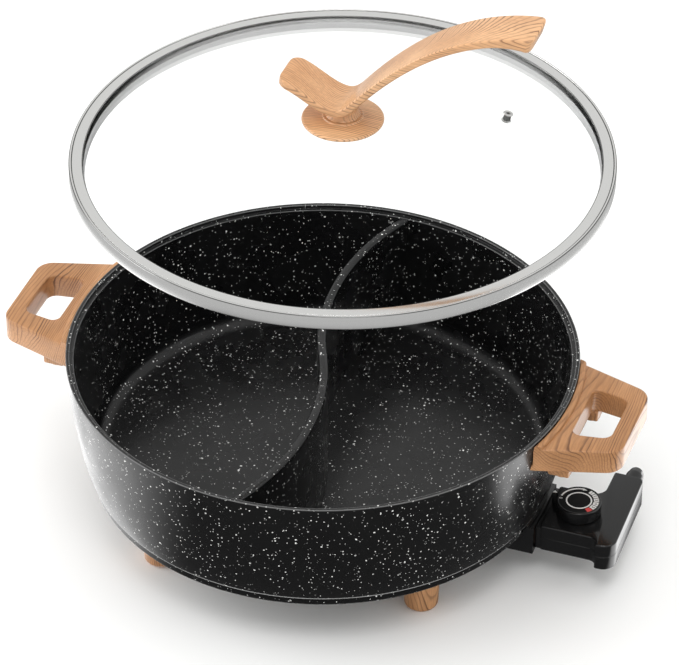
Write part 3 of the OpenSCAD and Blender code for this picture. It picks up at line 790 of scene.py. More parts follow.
@dataclass(frozen=True)
class PrintedWood(Finish):
    """Satin wood look: tan ground with flowing brown lines."""

    grain: Grain = Grain.ALONG_Y
    dark: Triple = (0.085, 0.030, 0.012)
    pale: Triple = (0.56, 0.292, 0.136)
    stem: Triple = (0.13, 0.0, 0.075)
    bend: float = 21.0
    lines: float = 560.0

    def detail(self, g: Graph, shader: bpy.types.Node) -> None:
        """Writes the grain, its tone and a light surface texture.

        Args:
            g: The material's graph.
            shader: Its Principled shader.
        """
        stretch = self.grain.value
        place = g.place(stretch, [-a * b for a, b in zip(self.stem, stretch)])
        along = [0.35 if part < 1 else 1.0 for part in stretch]
        inputs = {"Lines a bend": self.bend, "Lines per metre": self.lines}
        grain = g.group(grain_group(), {"Place": place, "Along": along, **inputs})
        ground = g.mix(g.spread(grain["Tone"], 0.3, 0.7), rgba(self.color), rgba(self.pale))
        fibre = g.spread(grain["Fibre"], 0.25, 0.75, 0.84, 1.10)
        grey = g.add("ShaderNodeCombineColor", {0: fibre, 1: fibre, 2: fibre}).outputs[0]
        toned = g.add(
            "ShaderNodeMix", {0: 1.0, 6: ground, 7: grey}, data_type="RGBA", blend_type="MULTIPLY"
        )
        color = g.mix(grain["Line"], toned.outputs[2], rgba(self.dark))
        rough = g.spread(grain["Line"], 0.0, 1.0, self.roughness, self.roughness + 0.10)
        height = g.math("SUBTRACT", grain["Fibre"], grain["Line"])
        g.feed(shader, {"Base Color": color, "Roughness": rough, "Normal": g.bump(height, 0.08)})


@dataclass(frozen=True)
class BandSteel(Finish):
    """Spun stainless sheet: faint turning lines round the lid's own axis."""

    axis_x: float = 0.0
    folds: tuple[float, ...] = ()
    fold_w: float = 0.35
    # Dark colour painted into the folds as shade.
    fold_shade_color: Triple = (0.05, 0.05, 0.05)

    def detail(self, g: Graph, shader: bpy.types.Node) -> None:
        """Draws fine rings by distance from the lid's axis, and paints shade into the folds.

        Args:
            g: The material's graph.
            shader: Its Principled shader.
        """
        place = g.place(offset=(-self.axis_x * MM, 0.0, 0.0))
        reach, height = g.round_z(place)
        rings_at = g.add("ShaderNodeCombineXYZ", {0: reach, 1: height}).outputs[0]
        rings = g.noise(rings_at, 6000.0, 2.0, 0.6)
        width = self.fold_w * MM
        # Painted shade: each fold's groove is darkened as if shade fell in it.
        offs = [g.math("ABSOLUTE", g.math("SUBTRACT", reach, fold * MM)) for fold in self.folds]
        shade = g.most([g.spread(off, width * 0.4, width, 1.0, 0.0) for off in offs])
        color = g.mix(g.math("MULTIPLY", shade, 0.85), rgba(self.color), rgba(self.fold_shade_color))
        rough = g.math(
            "ADD", g.spread(rings, 0.3, 0.7, self.roughness - 0.03, self.roughness + 0.03),
            g.spread(g.noise(place, 14.0), 0.3, 0.7, -0.02, 0.04),
        )
        bump = g.bump(rings, 0.03, 0.00005)
        g.feed(shader, {"Base Color": color, "Roughness": rough, "Normal": bump})


@dataclass(frozen=True)
class ClearGlass(Finish):
    """Clear tempered glass that lets light through to what is under it.

    Attributes:
        ior: Refractive index.
        thin_to: Slant, from 0 face on to 1 edge on, up to which the eye sees straight through.
        body_from: Slant from which the glass bends and mirrors what is behind and around it.
        tint: Colour of the straight view through it.
    """

    ior: float = 1.45
    thin_to: float = 0.55
    body_from: float = 0.85
    tint: Triple = (0.98, 0.985, 0.985)

    def detail(self, g: Graph, shader: bpy.types.Node) -> None:
        """Clear body with the faintest ripple.

        Args:
            g: The material's graph.
            shader: Its Principled shader.
        """
        ripple = g.noise(g.place(), 9.0, 1.0, 0.4)
        bump = g.bump(ripple, 0.02, 0.0005)
        g.feed(shader, {"Transmission Weight": 1.0, "IOR": self.ior, "Normal": bump})

    def surface(self, g: Graph, shader: bpy.types.Node) -> bpy.types.Node:
        """Clear to shadow rays, so the bowl stays lit, and to the eye where seen face on.

        Args:
            g: The material's graph.
            shader: Its Principled shader.

        Returns:
            The node that the output shows.
        """
        path = g.add("ShaderNodeLightPath").outputs
        slant = g.add("ShaderNodeLayerWeight", {"Blend": 0.5}).outputs["Facing"]
        short = g.math("SUBTRACT", self.body_from, slant)
        face_on = g.math("DIVIDE", short, self.body_from - self.thin_to)
        leaving = g.add("ShaderNodeNewGeometry").outputs["Backfacing"]
        face_on = g.math("MINIMUM", g.most([face_on, leaving, 0.0]), 1.0)
        seen = g.math("MULTIPLY", path["Is Camera Ray"], face_on)
        clear = g.add("ShaderNodeBsdfTransparent", {"Color": rgba(self.tint)})
        return g.blend(g.most([path["Is Shadow Ray"], seen]), shader, clear)


COAT = GraniteCoat(
    "granite_coat", (0.0042, 0.0042, 0.0044), 0.27, specular=0.45,
    # The base band's and the rim's edges get pale rings, partly wear and partly painted highlight.
    edges=(
        WearAndHighlightRing(151.65, 45.5, 0.95, 0.62), WearAndHighlightRing(150.6, 39.8, 0.8, 0.18),
        WearAndHighlightRing(165.0, 126.9, 0.7, 0.22), WearAndHighlightRing(162.5, 126.9, 0.6, 0.20),
        WearAndHighlightRing(160.0, 124.4, 0.5, 0.12),
    ),
)
WOOD_SIDE = PrintedWood("wood_side_handles", (0.40, 0.192, 0.080), 0.31, specular=0.45)
WOOD_FEET = PrintedWood(
    "wood_feet", (0.34, 0.152, 0.060), 0.36, specular=0.4, grain=Grain.ALONG_Z,
    stem=(0.06, -0.04, 0.0), bend=22.0,
)
# Lighter copy of the handle wood: its extra lightness over the side handles is painted light for the
# stronger light on the lid handle.
WOOD_LID = PrintedWood(
    "wood_lid_handle", (0.60, 0.315, 0.150), 0.28, grain=Grain.ALONG_X, dark=(0.12, 0.045, 0.018),
    pale=(0.76, 0.45, 0.24), stem=(0.02, 0.035, 0.30), lines=700.0, bend=15.0,
)
STEEL = Finish("plain_steel", (0.62, 0.62, 0.61), 0.34, metallic=1.0)
BLACK = Finish("satin_black", (0.0075, 0.0075, 0.0078), 0.15, specular=0.45)
GLOSS = Finish("gloss_black", (0.006, 0.006, 0.0063), 0.13)
BROWN = Finish("brown_moulding", (0.05, 0.03, 0.022), 0.5)
DIAL_FACE = Finish("dial_face", (0.004, 0.004, 0.0042), 0.45, specular=0.10)
# Duller, greyer copy of the band steel for the band's inner skirt: painted shade for the darker look
# there.
SKIRT_STEEL = Finish("skirt_steel", (0.66, 0.66, 0.66), 0.5, metallic=0.35)
CERAMIC = Finish("glazed_ceramic", (0.78, 0.74, 0.65), 0.25)
BRASS = Finish("contact_brass", (0.72, 0.54, 0.25), 0.3, metallic=1.0)
RUBBER = Finish("seal_rubber", (0.03, 0.03, 0.03), 0.7, specular=0.3)
PRINT_WHITE = Finish("dial_print_white", (0.85, 0.85, 0.84))
PRINT_RED = Finish("dial_print_red", (0.72, 0.05, 0.045))
GLASS = ClearGlass("clear_glass", (1.0, 1.0, 1.0), 0.0)


def settle(
    thing: bpy.types.Object, finish: Finish, body: str, slot: str, *nodes: str
) -> bpy.types.Object:
    """Dresses a new piece and ties it to the frame.

    Args:
        thing: The piece.
        finish: Its finish.
        body: The body that it rides on.
        slot: Not used.
        *nodes: The CAD nodes that it stands for.

    Returns:
        The piece.
    """
    finish.dress(thing)
    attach(thing, body)
    if nodes:
        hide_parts(*nodes)
    LOG.info("%s: %d faces on %s", thing.name, len(thing.data.polygons), body)
    return thing


def dress_nodes(finishes: dict[Finish, tuple[str, ...]]) -> None:
    """Gives CAD nodes that show as they are their finish.

    Args:
        finishes: The nodes of each finish.
    """
    for finish, nodes in finishes.items():
        for node in nodes:
            finish.dress(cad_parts[node])
            LOG.info("%s: %s", node, finish.name)


def part_finish(
    thing: bpy.types.Object, finish: Finish, chosen: Callable[[Vector], bool]
) -> None:
    """Gives the faces whose middle, in millimetres, is chosen a finish of their own.

    Args:
        thing: The piece.
        finish: The faces' finish.
        chosen: Tells from a face's middle whether it is one of them.
    """
    thing.data.materials.append(finish.material())
    for face in thing.data.polygons:
        if chosen(face.center / MM):
            face.material_index = len(thing.data.materials) - 1


# ---------------------------------------------------------------- bowl and feet


@dataclass
class Bowl:
    """The coated casting with its divider, and what is fixed under it."""

    rim_r: float = 165
    base_r: float = 151.5
    base_z: float = 39.5
    rim_z: float = 127
    bulge: float = 4.8
    wall: float = 4.5
    floor: float = 6
    floor_fillet: float = 12
    band_h: float = 5.5
    band_back: float = 0.8
    lip: float = 2.6
    step: float = 2.6
    ledge: float = 2.4
    divider_t: float = 6
    divider_drop: float = 3
    divider_bow: float = 17.5
    divider_round: float = 2.2
    divider_steps: int = 64
    divider_overrun: float = 1.03
    stub_r: float = 6.5
    stub_h: float = 10
    element_r: float = 95.8
    element_drop: float = 6.5
    element_gap: float = math.radians(16.3)
    ridge: float = 6
    boss_z: float = 27.5
    boss_half: float = 5.6

    def wall_at(self, t: float) -> Vector:
        """Point of the outer wall as (radius, height), from the band at 0 to the rim at 1.

        Args:
            t: Share of the way up.

        Returns:
            The point.
        """
        low = Vector((self.base_r, self.base_z + self.band_h))
        high = Vector((self.rim_r, self.rim_z - 0.5))
        belly_z = low.y + (self.rim_z - low.y) * 0.27
        belly = Vector(((self.base_r + self.rim_r + self.bulge) / 2, belly_z))
        return (1 - t) ** 2 * low + 2 * (1 - t) * t * belly + t * t * high

    def wall_radius(self, z: float) -> float:
        """Outer radius of the wall at height z.

        Args:
            z: The height.

        Returns:
            The radius.
        """
        low, high = 0.0, 1.0
        for _ in range(30):
            half = (low + high) / 2
            low, high = (half, high) if self.wall_at(half).y < z else (low, half)
        return self.wall_at(low).x

    def shell_profile(self) -> list[Point2]:
        """Outline of the bowl's wall and floor, with its lip, ledge and base band."""
        base_z, rim_z, fillet = self.base_z, self.rim_z, self.floor_fillet
        band_r = self.base_r - self.band_back
        lip_r = self.rim_r - self.lip
        ledge_r = lip_r - self.ledge
        step_z = rim_z - self.step
        floor_z = base_z + self.floor
        foot_r = self.wall_radius(floor_z + fillet) - self.wall
        outside = [tuple(self.wall_at(i / 28)) for i in range(29)]
        under = rounded(
            [(90, base_z), (band_r, base_z, 1.2), (band_r, base_z + self.band_h, 0.3),
             (*outside[0], 0.6), outside[1]], 4,
        )
        rim = rounded(
            [outside[-1], (self.rim_r, rim_z, 0.45), (lip_r, rim_z, 0.6), (lip_r, step_z, 0.35),
             (ledge_r, step_z)], 4,
        )
        inside = [
            (r - self.wall, z) for r, z in reversed(outside) if floor_z + fillet + 1 < z < step_z - 3
        ]
        shoulder = rounded([rim[-2], (ledge_r - 0.2, step_z, 0.5), inside[0]], 3)[1:-1]
        foot = rounded([(foot_r, floor_z + 2 * fillet), (foot_r, floor_z, fillet), (0, floor_z)], 10)
        return (
            [(0, base_z)] + under + outside[2:-1] + rim[:-1] + shoulder + inside + foot[1:-1]
            + [(0, floor_z)]
        )

    def divider_section(self) -> list[Point2]:
        """Section across the divider as (offset, height), up one side and down the other."""
        half = self.divider_t / 2
        top = self.rim_z - self.divider_drop
        bottom = self.base_z + self.floor - 1.5
        heights = [bottom + (top - 3 - bottom) * i / 20 for i in range(1, 21)]
        crown = rounded(
            [(half, top - 4), (half, top, self.divider_round), (-half, top, self.divider_round),
             (-half, top - 4)], 6,
        )[1:-1]
        up = [(half, z) for z in heights]
        return [(-half, bottom), (half, bottom)] + up + crown + [(-half, z) for z in reversed(heights)]

    def divider_loops(self) -> list[Loop]:
        """Sections of the divider along its S, trimmed to the middle of the wall."""
        chord = self.rim_r - self.lip - self.ledge
        radius = ((chord / 2) ** 2 + self.divider_bow**2) / (2 * self.divider_bow)
        centre = Vector((radius - self.divider_bow, chord / 2))
        half = math.atan2(centre.y, centre.x)
        loops = []
        for i in range(-self.divider_steps, self.divider_steps + 1):
            side = 1 if i >= 0 else -1
            share = abs(i) / self.divider_steps * self.divider_overrun
            out = polar(1, math.pi + half - share * 2 * half, 0).xy
            loop = []
            for offset, z in self.divider_section():
                p = side * (centre + out * (radius - side * offset))
                limit = self.wall_radius(max(z, self.base_z + self.band_h)) - self.wall * 0.55
                if z > self.rim_z - 8:
                    limit = chord + 0.8
                p *= min(1.0, limit / max(p.length, TINY))
                loop.append(Vector((p.x, p.y, z)))
            loops.append(loop)
        return loops

    def build(self) -> bpy.types.Object:
        """Builds the casting in one piece."""
        solid = Solid()
        solid.lathe(self.shell_profile(), 288)
        solid.loft(self.divider_loops())
        root = self.base_z + 1
        low = self.base_z - self.element_drop
        inner, outer = self.element_r - self.ridge, self.element_r + self.ridge
        ridge = rounded([(inner, root), (inner, low, 1.2), (outer, low, 1.2), (outer, root)], 4)
        solid.lathe(ridge, 160, self.element_gap, math.tau - 2 * self.element_gap)
        solid.block(
            (self.element_r - 2, -self.boss_half, self.boss_z - self.boss_half),
            (self.element_r + 15, self.boss_half, root), 1,
        )
        low = self.base_z - self.stub_h
        stub = [(0, low), (self.stub_r, low), (self.stub_r, root), (0, root)]
        for node in Feet.nodes:
            solid.spool(stub, 32, shift(*middle(node).xy, 0))
        return solid.piece("granite_bowl")

    def dress(self) -> None:
        """Builds and dresses the casting and the fixed pieces under it."""
        settle(self.build(), COAT, "pot", "coated_casting", "pot_casting")
        shroud = dressed_copy("socket_shroud", "socket_housing", 0.5)
        settle(shroud, BLACK, "pot", "black_plastic", "socket_shroud")
        dress_nodes({STEEL: ("heating_element", "terminal_pins"), CERAMIC: ("terminal_insulators",)})


@dataclass
class Feet:
    """Four short tapered feet, each screwed on its stub from below."""

    nodes: ClassVar[tuple[str, ...]] = (
        "front_left_foot", "front_right_foot", "rear_left_foot", "rear_right_foot"
    )
    top_z: float = 39.35
    top_r: float = 12.5
    tip_r: float = 10.8
    tip_round: float = 3
    recess_r: float = 4.8
    recess: float = 7
    socket_r: float = 6.65
    socket_z: float = 29.35
    bore: float = 2.3

    def build(self, node: str) -> bpy.types.Object:
        """Builds one foot where its CAD node stands.

        Args:
            node: The CAD node.

        Returns:
            The foot.
        """
        outline = [
            (self.recess_r, 0, 0.5), (self.tip_r, 0, self.tip_round), (self.top_r, self.top_z, 0.9),
            (self.socket_r, self.top_z), (self.socket_r, self.socket_z), (self.bore, self.socket_z),
            (self.bore, self.recess), (self.recess_r, self.recess),
        ]
        return turned("wood_" + node, outline, 6, 72, shift(*middle(node).xy, 0))

    def dress(self) -> None:
        """Builds and dresses the four feet."""
        for node in self.nodes:
            settle(self.build(node), WOOD_FEET, "pot", "wood_look", node)


# ---------------------------------------------------------------- side handles


@dataclass
class SideHandle:
    """Loop handle that hugs the wall, with a bead along the bowl."""

    bowl: Bowl
    turn: Turn
    out: float = 44.7
    root_w: float = 47
    tip_w: float = 33
    corner: float = 12
    thick: float = 17
    drop: float = 4
    gap: float = 0.15
    edge: float = 1.1
    bead_w: float = 4
    bead_h: float = 2.4
    grip_gap: float = 9.5
    grip_len: float = 24.5
    grip_root_w: float = 25
    grip_tip_w: float = 21
    grip_corner: float = 5
    lug_y: float = 31
    lug_half: float = 9
    lug_out: float = 13.5
    screw_x: float = 172
    block_h: float = 7

    def side(self, x: float) -> float:
        """Half width of the handle at x."""
        return self.root_w + (self.tip_w - self.root_w) * (x - self.bowl.rim_r) / self.out

    def plan(self, inset: float, z: float) -> list[Point2]:
        """Outer outline at height z.

        Args:
            inset: How far it is drawn in, for a rounded edge.
            z: Height, which sets how far in the bowl's wall is.

        Returns:
            Points of the outline.
        """
        wall = self.bowl.wall_radius(min(z, self.bowl.rim_z)) + self.gap + inset
        end = self.bowl.rim_r + self.out - inset
        root_x = math.sqrt(wall**2 - (self.root_w - 1) ** 2)
        half = math.atan2(self.side(root_x) - inset, root_x)
        angles = [half * (1 - 2 * i / 24) for i in range(25)]
        arc = [(wall * math.cos(a), wall * math.sin(a)) for a in angles]
        tip, corner = self.tip_w - inset * 0.8, self.corner - inset
        corners = rounded([arc[-1], (end, -tip, corner), (end, tip, corner), arc[0]], 10)
        return arc[:-1] + corners[:-1]

    def bead_end(self, r: float) -> float:
        """Angle at which a line of the bead at radius r ends, just inside the handle's side.

        Args:
            r: The line's radius.

        Returns:
            The angle.
        """
        angle = 0.28
        for _ in range(6):
            angle = math.asin((self.side(r * math.cos(angle)) - 0.5) / r)
        return angle

    def grip(self, inset: float) -> list[Point2]:
        """Outline of the finger opening, let out by inset at its rounded edges.

        Args:
            inset: How far it is let out.

        Returns:
            Points of the outline.
        """
        x0 = self.bowl.rim_r + self.grip_gap - inset
        x1 = self.bowl.rim_r + self.grip_gap + self.grip_len + inset
        root_w, tip_w = self.grip_root_w + inset, self.grip_tip_w + inset
        near, far = self.grip_corner + inset, self.grip_corner + 2 + inset
        return rounded(
            [(x0, -root_w, near), (x1, -tip_w, far), (x1, tip_w, far), (x0, root_w, near)], 8
        )

    def rays(self, centre: Vector) -> list[float]:
        """Angles from the opening's middle that meet every corner of both outlines.

        Args:
            centre: The opening's middle.

        Returns:
            The angles in order.
        """
        places = self.plan(0, self.bowl.rim_z - self.drop) + self.grip(0)
        angles = {round(math.atan2(y - centre.y, x - centre.x), 5) for x, y in places}
        angles |= {round(-math.pi + math.tau * i / 96, 5) for i in range(96)}
        ordered = sorted(angles)
        after = ordered[1:] + [ordered[0] + math.tau]
        return [a for a, b in zip(ordered, after) if b - a > 0.006]

    @staticmethod
    def cast(outline: list[Point2], centre: Vector, angle: float) -> Vector:
        """Where a ray from centre meets an outline.

        Args:
            outline: Points of a closed outline round centre.
            centre: Start of the ray.
            angle: Its direction.

        Returns:
            The meeting point.
        """
        ray = polar(1, angle, 0).xy
        best = 0.0
        for a, b in zip(outline, outline[1:] + outline[:1]):
            p, q = Vector(a) - centre, Vector(b) - centre
            run = q - p
            cross = ray.x * run.y - ray.y * run.x
            if abs(cross) < PARALLEL:
                continue
            reach = (p.x * run.y - p.y * run.x) / cross
            along = (p.x * ray.y - p.y * ray.x) / cross
            if -WELD <= along <= 1 + WELD:
                best = max(best, reach)
        return centre + ray * best

    def build(self) -> bpy.types.Object:
        """Builds the handle with its bead and the blocks under it."""
        rim_r, top = self.bowl.rim_r, self.bowl.rim_z - self.drop
        bottom = top - self.thick
        centre = Vector((rim_r + self.grip_gap + self.grip_len / 2, 0.0))
        angles = self.rays(centre)
        rims = edge_steps(self.edge, 4)
        layers = [(d, bottom + h) for d, h in reversed(rims)]
        layers += [(0.0, bottom + self.thick * i / 4) for i in (1, 2, 3)]
        layers += [(d, top - h) for d, h in rims]

        def around(outline: list[Point2], z: float) -> Loop:
            """The outline where the rays meet it, at height z."""
            return [Vector((*self.cast(outline, centre, a), z)) for a in angles]

        outer = [around(self.plan(d, z), z) for d, z in layers]
        inner = [around(self.grip(d), z) for d, z in layers]
        solid = Solid()
        solid.loft(outer + inner[::-1], closed=True)
        wall, end = rim_r + self.gap, rim_r + self.gap + self.bead_w
        crest = top + self.bead_h
        bead = rounded([(wall, top - 1), (end, top - 1), (end, crest, 1.5), (wall, crest, 0.7)], 5)
        ends = [self.bead_end(r) for r, _ in bead]
        solid.loft(
            [[polar(r, a * (i / 24 - 1), z) for (r, z), a in zip(bead, ends)] for i in range(49)]
        )
        cup = rounded([(3.75, -3, 0.3), (5.6, -3, 0.6), (5.6, 1), (3.75, 1)], 3)
        under = bottom - self.block_h
        for y in (-self.lug_y, self.lug_y):
            solid.block(
                (rim_r - 0.5, y - self.lug_half, under),
                (rim_r + self.lug_out, y + self.lug_half, bottom + 1), 0.9,
            )
            solid.spool(cup, 40, shift(self.screw_x, y, under))
        solid.move(spin(self.turn.value))
        return solid.piece(f"{self.turn.name.lower()}_wood_handle")

    def dress(self) -> None:
        """Builds and dresses the handle."""
        node = f"{self.turn.name.lower()}_handle"
        settle(self.build(), WOOD_SIDE, "pot", "wood_look", node)


# ---------------------------------------------------------------- lid


@dataclass
class Lid:
    """Domed glass in a steel band, held to its handle by a screw."""

    centre_x: float = field(default_factory=lambda: middle("lid_band").x)
    top_z: float = field(default_factory=lambda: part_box("lid_band")[1][2] / MM)
    radius: float = 170
    band_h: float = 9.5
    flange: float = 8.7
    flange_drop: float = 0.35
    bead_in: float = 1.7
    sheet: float = 0.8
    skirt: float = 2
    glass: float = 4
    glass_gap: float = 0.1
    dome: float = 26
    dome_flat: float = 27
    hole: float = 3
    vent_r: float = 105
    vent_turn: float = math.radians(31.5)
    vent_hole: float = 2.5
    vent_bore: float = 1.3
    vent_lip: float = 3.2
    collar_r: float = 25.8
    gasket: float = 0.8
    collar_h: float = 4.1

    def at(self) -> Matrix:
        """Move from the lid's own axes to the frame."""
        return shift(self.centre_x, 0, self.top_z)

    def seat(self) -> float:
        """Height of the glass's top under the band, in the lid's axes."""
        return -self.sheet - self.glass_gap

    def dome_edge(self) -> float:
        """Radius where the dome meets the flat rim of the glass."""
        return self.radius - self.flange - 1.5

    def glass_top(self, r: float) -> float:
        """Height of the glass's upper face at radius r, in the lid's axes."""
        t = max(0.0, r - self.dome_flat) / (self.dome_edge() - self.dome_flat)
        return self.dome - (self.dome - self.seat()) * t * t

    def build_glass(self) -> bpy.types.Object:
        """Builds the glass, with the hole for the screw and a rounded rim."""
        seat = self.seat()
        rim = self.radius - self.sheet - 0.4
        run = self.dome_edge() - self.dome_flat
        radii = [self.hole] + [self.dome_flat + run * i / 30 for i in range(31)]
        upper = [(r, self.glass_top(r)) for r in radii]
        lower = [(r, z - self.glass) for r, z in reversed(upper)]
        side = rounded([upper[-1], (rim, seat, 1), (rim, seat - self.glass, 1), lower[0]], 4)[1:-1]
        return turned("clear_dome", upper + side + lower, 1, 256, self.at(), 60)

    def build_band(self) -> bpy.types.Object:
        """Builds the rolled steel band."""
        t, drop, outer = self.sheet, self.flange_drop, self.radius
        inner = outer - self.flange
        skirt = inner - 0.3
        floor = self.seat() - self.glass - 0.1
        bead = outer - self.bead_in
        low, lowest = -self.band_h, -self.band_h - self.skirt
        profile = [
            (inner, -drop, 0.2), (bead - 0.5, -drop, 0.1), (bead - 0.3, -2 * drop, 0.08),
            (bead, -2 * drop, 0.08), (bead + 0.2, 0, 0.25), (outer, 0, 1.0), (outer, low, 0.9),
            (skirt, low, 0.35), (skirt, lowest, 0.35), (skirt - t, lowest, 0.35),
            (skirt - t, floor, 0.2), (skirt, floor, 0.2), (skirt, low + t), (outer - t, low + t, 0.3),
            (outer - t, -t, 0.5), (inner, -t, 0.15),
        ]
        return turned("steel_band", profile, 4, 288, self.at())

    def build_vent(self) -> bpy.types.Object:
        """Builds the vent's eyelet, square to the glass."""
        bore, lip, outer = self.vent_bore, self.vent_lip, self.vent_hole - 0.15
        low = -self.glass - 0.3
        profile = [
            (bore, 0.9, 0.4), (lip, 0.9, 0.4), (lip, 0.2), (outer, 0.2), (outer, low), (lip, low),
            (lip, low - 0.6, 0.3), (bore, low - 0.6, 0.3),
        ]
        run = self.dome_edge() - self.dome_flat
        slope = math.atan(2 * (self.dome + self.sheet) * (self.vent_r - self.dome_flat) / run**2)
        place = shift(self.vent_r, 0, self.glass_top(self.vent_r))
        move = self.at() @ spin(self.vent_turn) @ place @ spin(slope, "Y")
        return turned("vent_eyelet", profile, 3, 48, move)

    def build_collar(self) -> bpy.types.Object:
        """Builds the round collar under the handle, with a fine step round its neck."""
        low = self.dome + self.gasket
        high, edge = low + self.collar_h, self.collar_r
        profile = [
            (self.hole, low), (edge - 0.4, low, 0.5), (edge, low + 1.1, 0.9), (edge - 1.2, low + 2, 1),
            (14, high - 0.95, 1), (12.9, high - 0.75, 0.3), (12.4, high, 0.3), (self.hole, high),
        ]
        return turned("wood_collar", profile, 4, 128, self.at(), 50)

    def dress(self) -> None:
        """Builds and dresses the lid."""
        inner = self.radius - self.flange
        band = BandSteel(
            "band_steel", (0.80, 0.80, 0.79), 0.20, metallic=1.0, axis_x=self.centre_x,
            folds=(self.radius - 0.35, self.radius - 1.85, inner + 0.25),
        )
        settle(self.build_glass(), GLASS, "lid", "clear_glass", "lid_glass")
        ring = settle(self.build_band(), band, "lid", "band_steel", "lid_band")
        axis = Vector((self.centre_x, 0))
        # The inner skirt gets a duller, greyer copy of the steel as painted shade.
        part_finish(ring, SKIRT_STEEL, lambda p: (p.xy - axis).length < inner - 0.2)
        settle(self.build_vent(), STEEL, "lid", "band_steel", "vent_grommet")
        settle(self.build_collar(), WOOD_LID, "lid", "wood_look", "handle_collar")
        dress_nodes({RUBBER: ("collar_gasket", "lower_gasket"), STEEL: ("lid_washer", "lid_screw")})


@dataclass
class LidHandle:
    """Bent strap with a short leaf on the left and a long arm on the right."""

    lid: Lid
    width: float = 31
    thick: float = 5
    flare: float = 4
    flare_run: float = 34
    undercut: float = 3
    undercut_run: float = 9
    leaf_corner: float = 8
    arm_corner: float = 5
    edge: float = 1.1
    neck_r: float = 9
    rise: float = 11.3
    left: float = -38
    right: float = 125
    stations: int = 150

    def neck_z(self) -> float:
        """Height of the collar's top, in the lid's axes."""
        return self.lid.dome + self.lid.gasket + self.lid.collar_h

    def line(self) -> list[Vector]:
        """Upper line of the strap from its left to its right end, in the lid's axes."""
        v = self.neck_z() + self.rise
        start, low, bend = (self.left, v + 14.8), (-2, v), (8, v + 5.4)
        leaf = bezier(start, (-24, v + 13.4), (-13, v + 1), low, 40)
        turn = bezier(low, (2, v - 0.3), (5, v + 2), bend, 12)
        arm = bezier(bend, (37, v + 41), (74, v + 74), (self.right, v + 77), 80)
        return [Vector(start)] + leaf + turn + arm

    def resampled(self) -> list[Vector]:
        """The strap's line at even steps."""
        line = self.line()
        lengths = [0.0]
        for a, b in zip(line, line[1:]):
            lengths.append(lengths[-1] + (b - a).length)
        out = []
        k = 0
        for i in range(self.stations + 1):
            s = lengths[-1] * i / self.stations
            while k < len(lengths) - 2 and lengths[k + 1] < s:
                k += 1
            out.append(line[k].lerp(line[k + 1], (s - lengths[k]) / (lengths[k + 1] - lengths[k])))
        return out

    def half_width(self, s: float, length: float) -> float:
        """Half width at distance s, drawn in round both ends' corners.

        Args:
            s: Distance along the strap's line.
            length: The line's length.

        Returns:
            Half the width.
        """
        half = self.width / 2
        for reach, corner in ((s, self.leaf_corner), (length - s, self.arm_corner)):
            if reach < corner:
                wide = math.sqrt(max(0.0, corner**2 - (corner - reach) ** 2))
                half = min(half, self.width / 2 - corner + wide)
        return half

    def loop(self, places: list[Vector], s: float, length: float) -> Loop:
        """Section of the strap across its length.

        Args:
            places: The strap's line at even steps.
            s: Distance of the section along the line.
            length: The line's length.

        Returns:
            The section's points in the lid's axes.
        """
        at = s / length * self.stations
        k = min(int(at), self.stations - 1)
        p = places[k].lerp(places[k + 1], at - k)
        run = (places[min(k + 2, self.stations)] - places[max(k - 1, 0)]).normalized()
        down = Vector((run.y, -run.x))
        flared = max(0.0, (p.x - self.right + self.flare_run) / self.flare_run)
        thick = self.thick + self.flare * flared**2
        missing = max(0.0, self.edge - min(s, length - s))
        pull = self.edge - math.sqrt(max(0.0, self.edge**2 - missing**2))
        tuck = Vector((-self.undercut * max(0.0, 1 - (length - s) / self.undercut_run), 0.0))
        half, deep = self.half_width(s, length) - pull, thick - 2 * pull
        corners = [(-half, 0), (half, 0), (half, -deep), (-half, -deep)]
        out = []
        for across, below in rounded([(*corner, self.edge) for corner in corners], 5):
            q = p + down * (pull - below) + tuck * (-below / thick)
            out.append(Vector((q.x, across, q.y)))
        return out

    def build(self) -> bpy.types.Object:
        """Builds the strap and the neck under its bend."""
        places = self.resampled()
        length = sum((b - a).length for a, b in zip(places, places[1:]))
        ends = {0.0, 0.15, 0.45, 0.9, 1.5}
        even = {round(length * i / self.stations, 4) for i in range(self.stations + 1)}
        stations = sorted(even | ends | {length - e for e in ends})
        solid = Solid()
        solid.loft([self.loop(places, s, length) for s in stations])
        z, r = self.neck_z(), self.neck_r
        top = z + self.rise - 1.2
        neck = [
            (0, z), (r + 2.6, z, 0.4), (r + 1.2, z + 1.3, 1), (r, z + 4.2, 3), (r + 0.6, z + 7.6, 0.5),
            (r - 1.5, top, 0.3), (0, top),
        ]
        solid.lathe(rounded(neck, 4), 64)
        solid.move(self.lid.at())
        return solid.piece("wood_lid_strap", 50)

    def dress(self) -> None:
        """Builds and dresses the strap."""
        settle(self.build(), WOOD_LID, "lid", "wood_look", "lid_handle")


# ---------------------------------------------------------------- control and dial


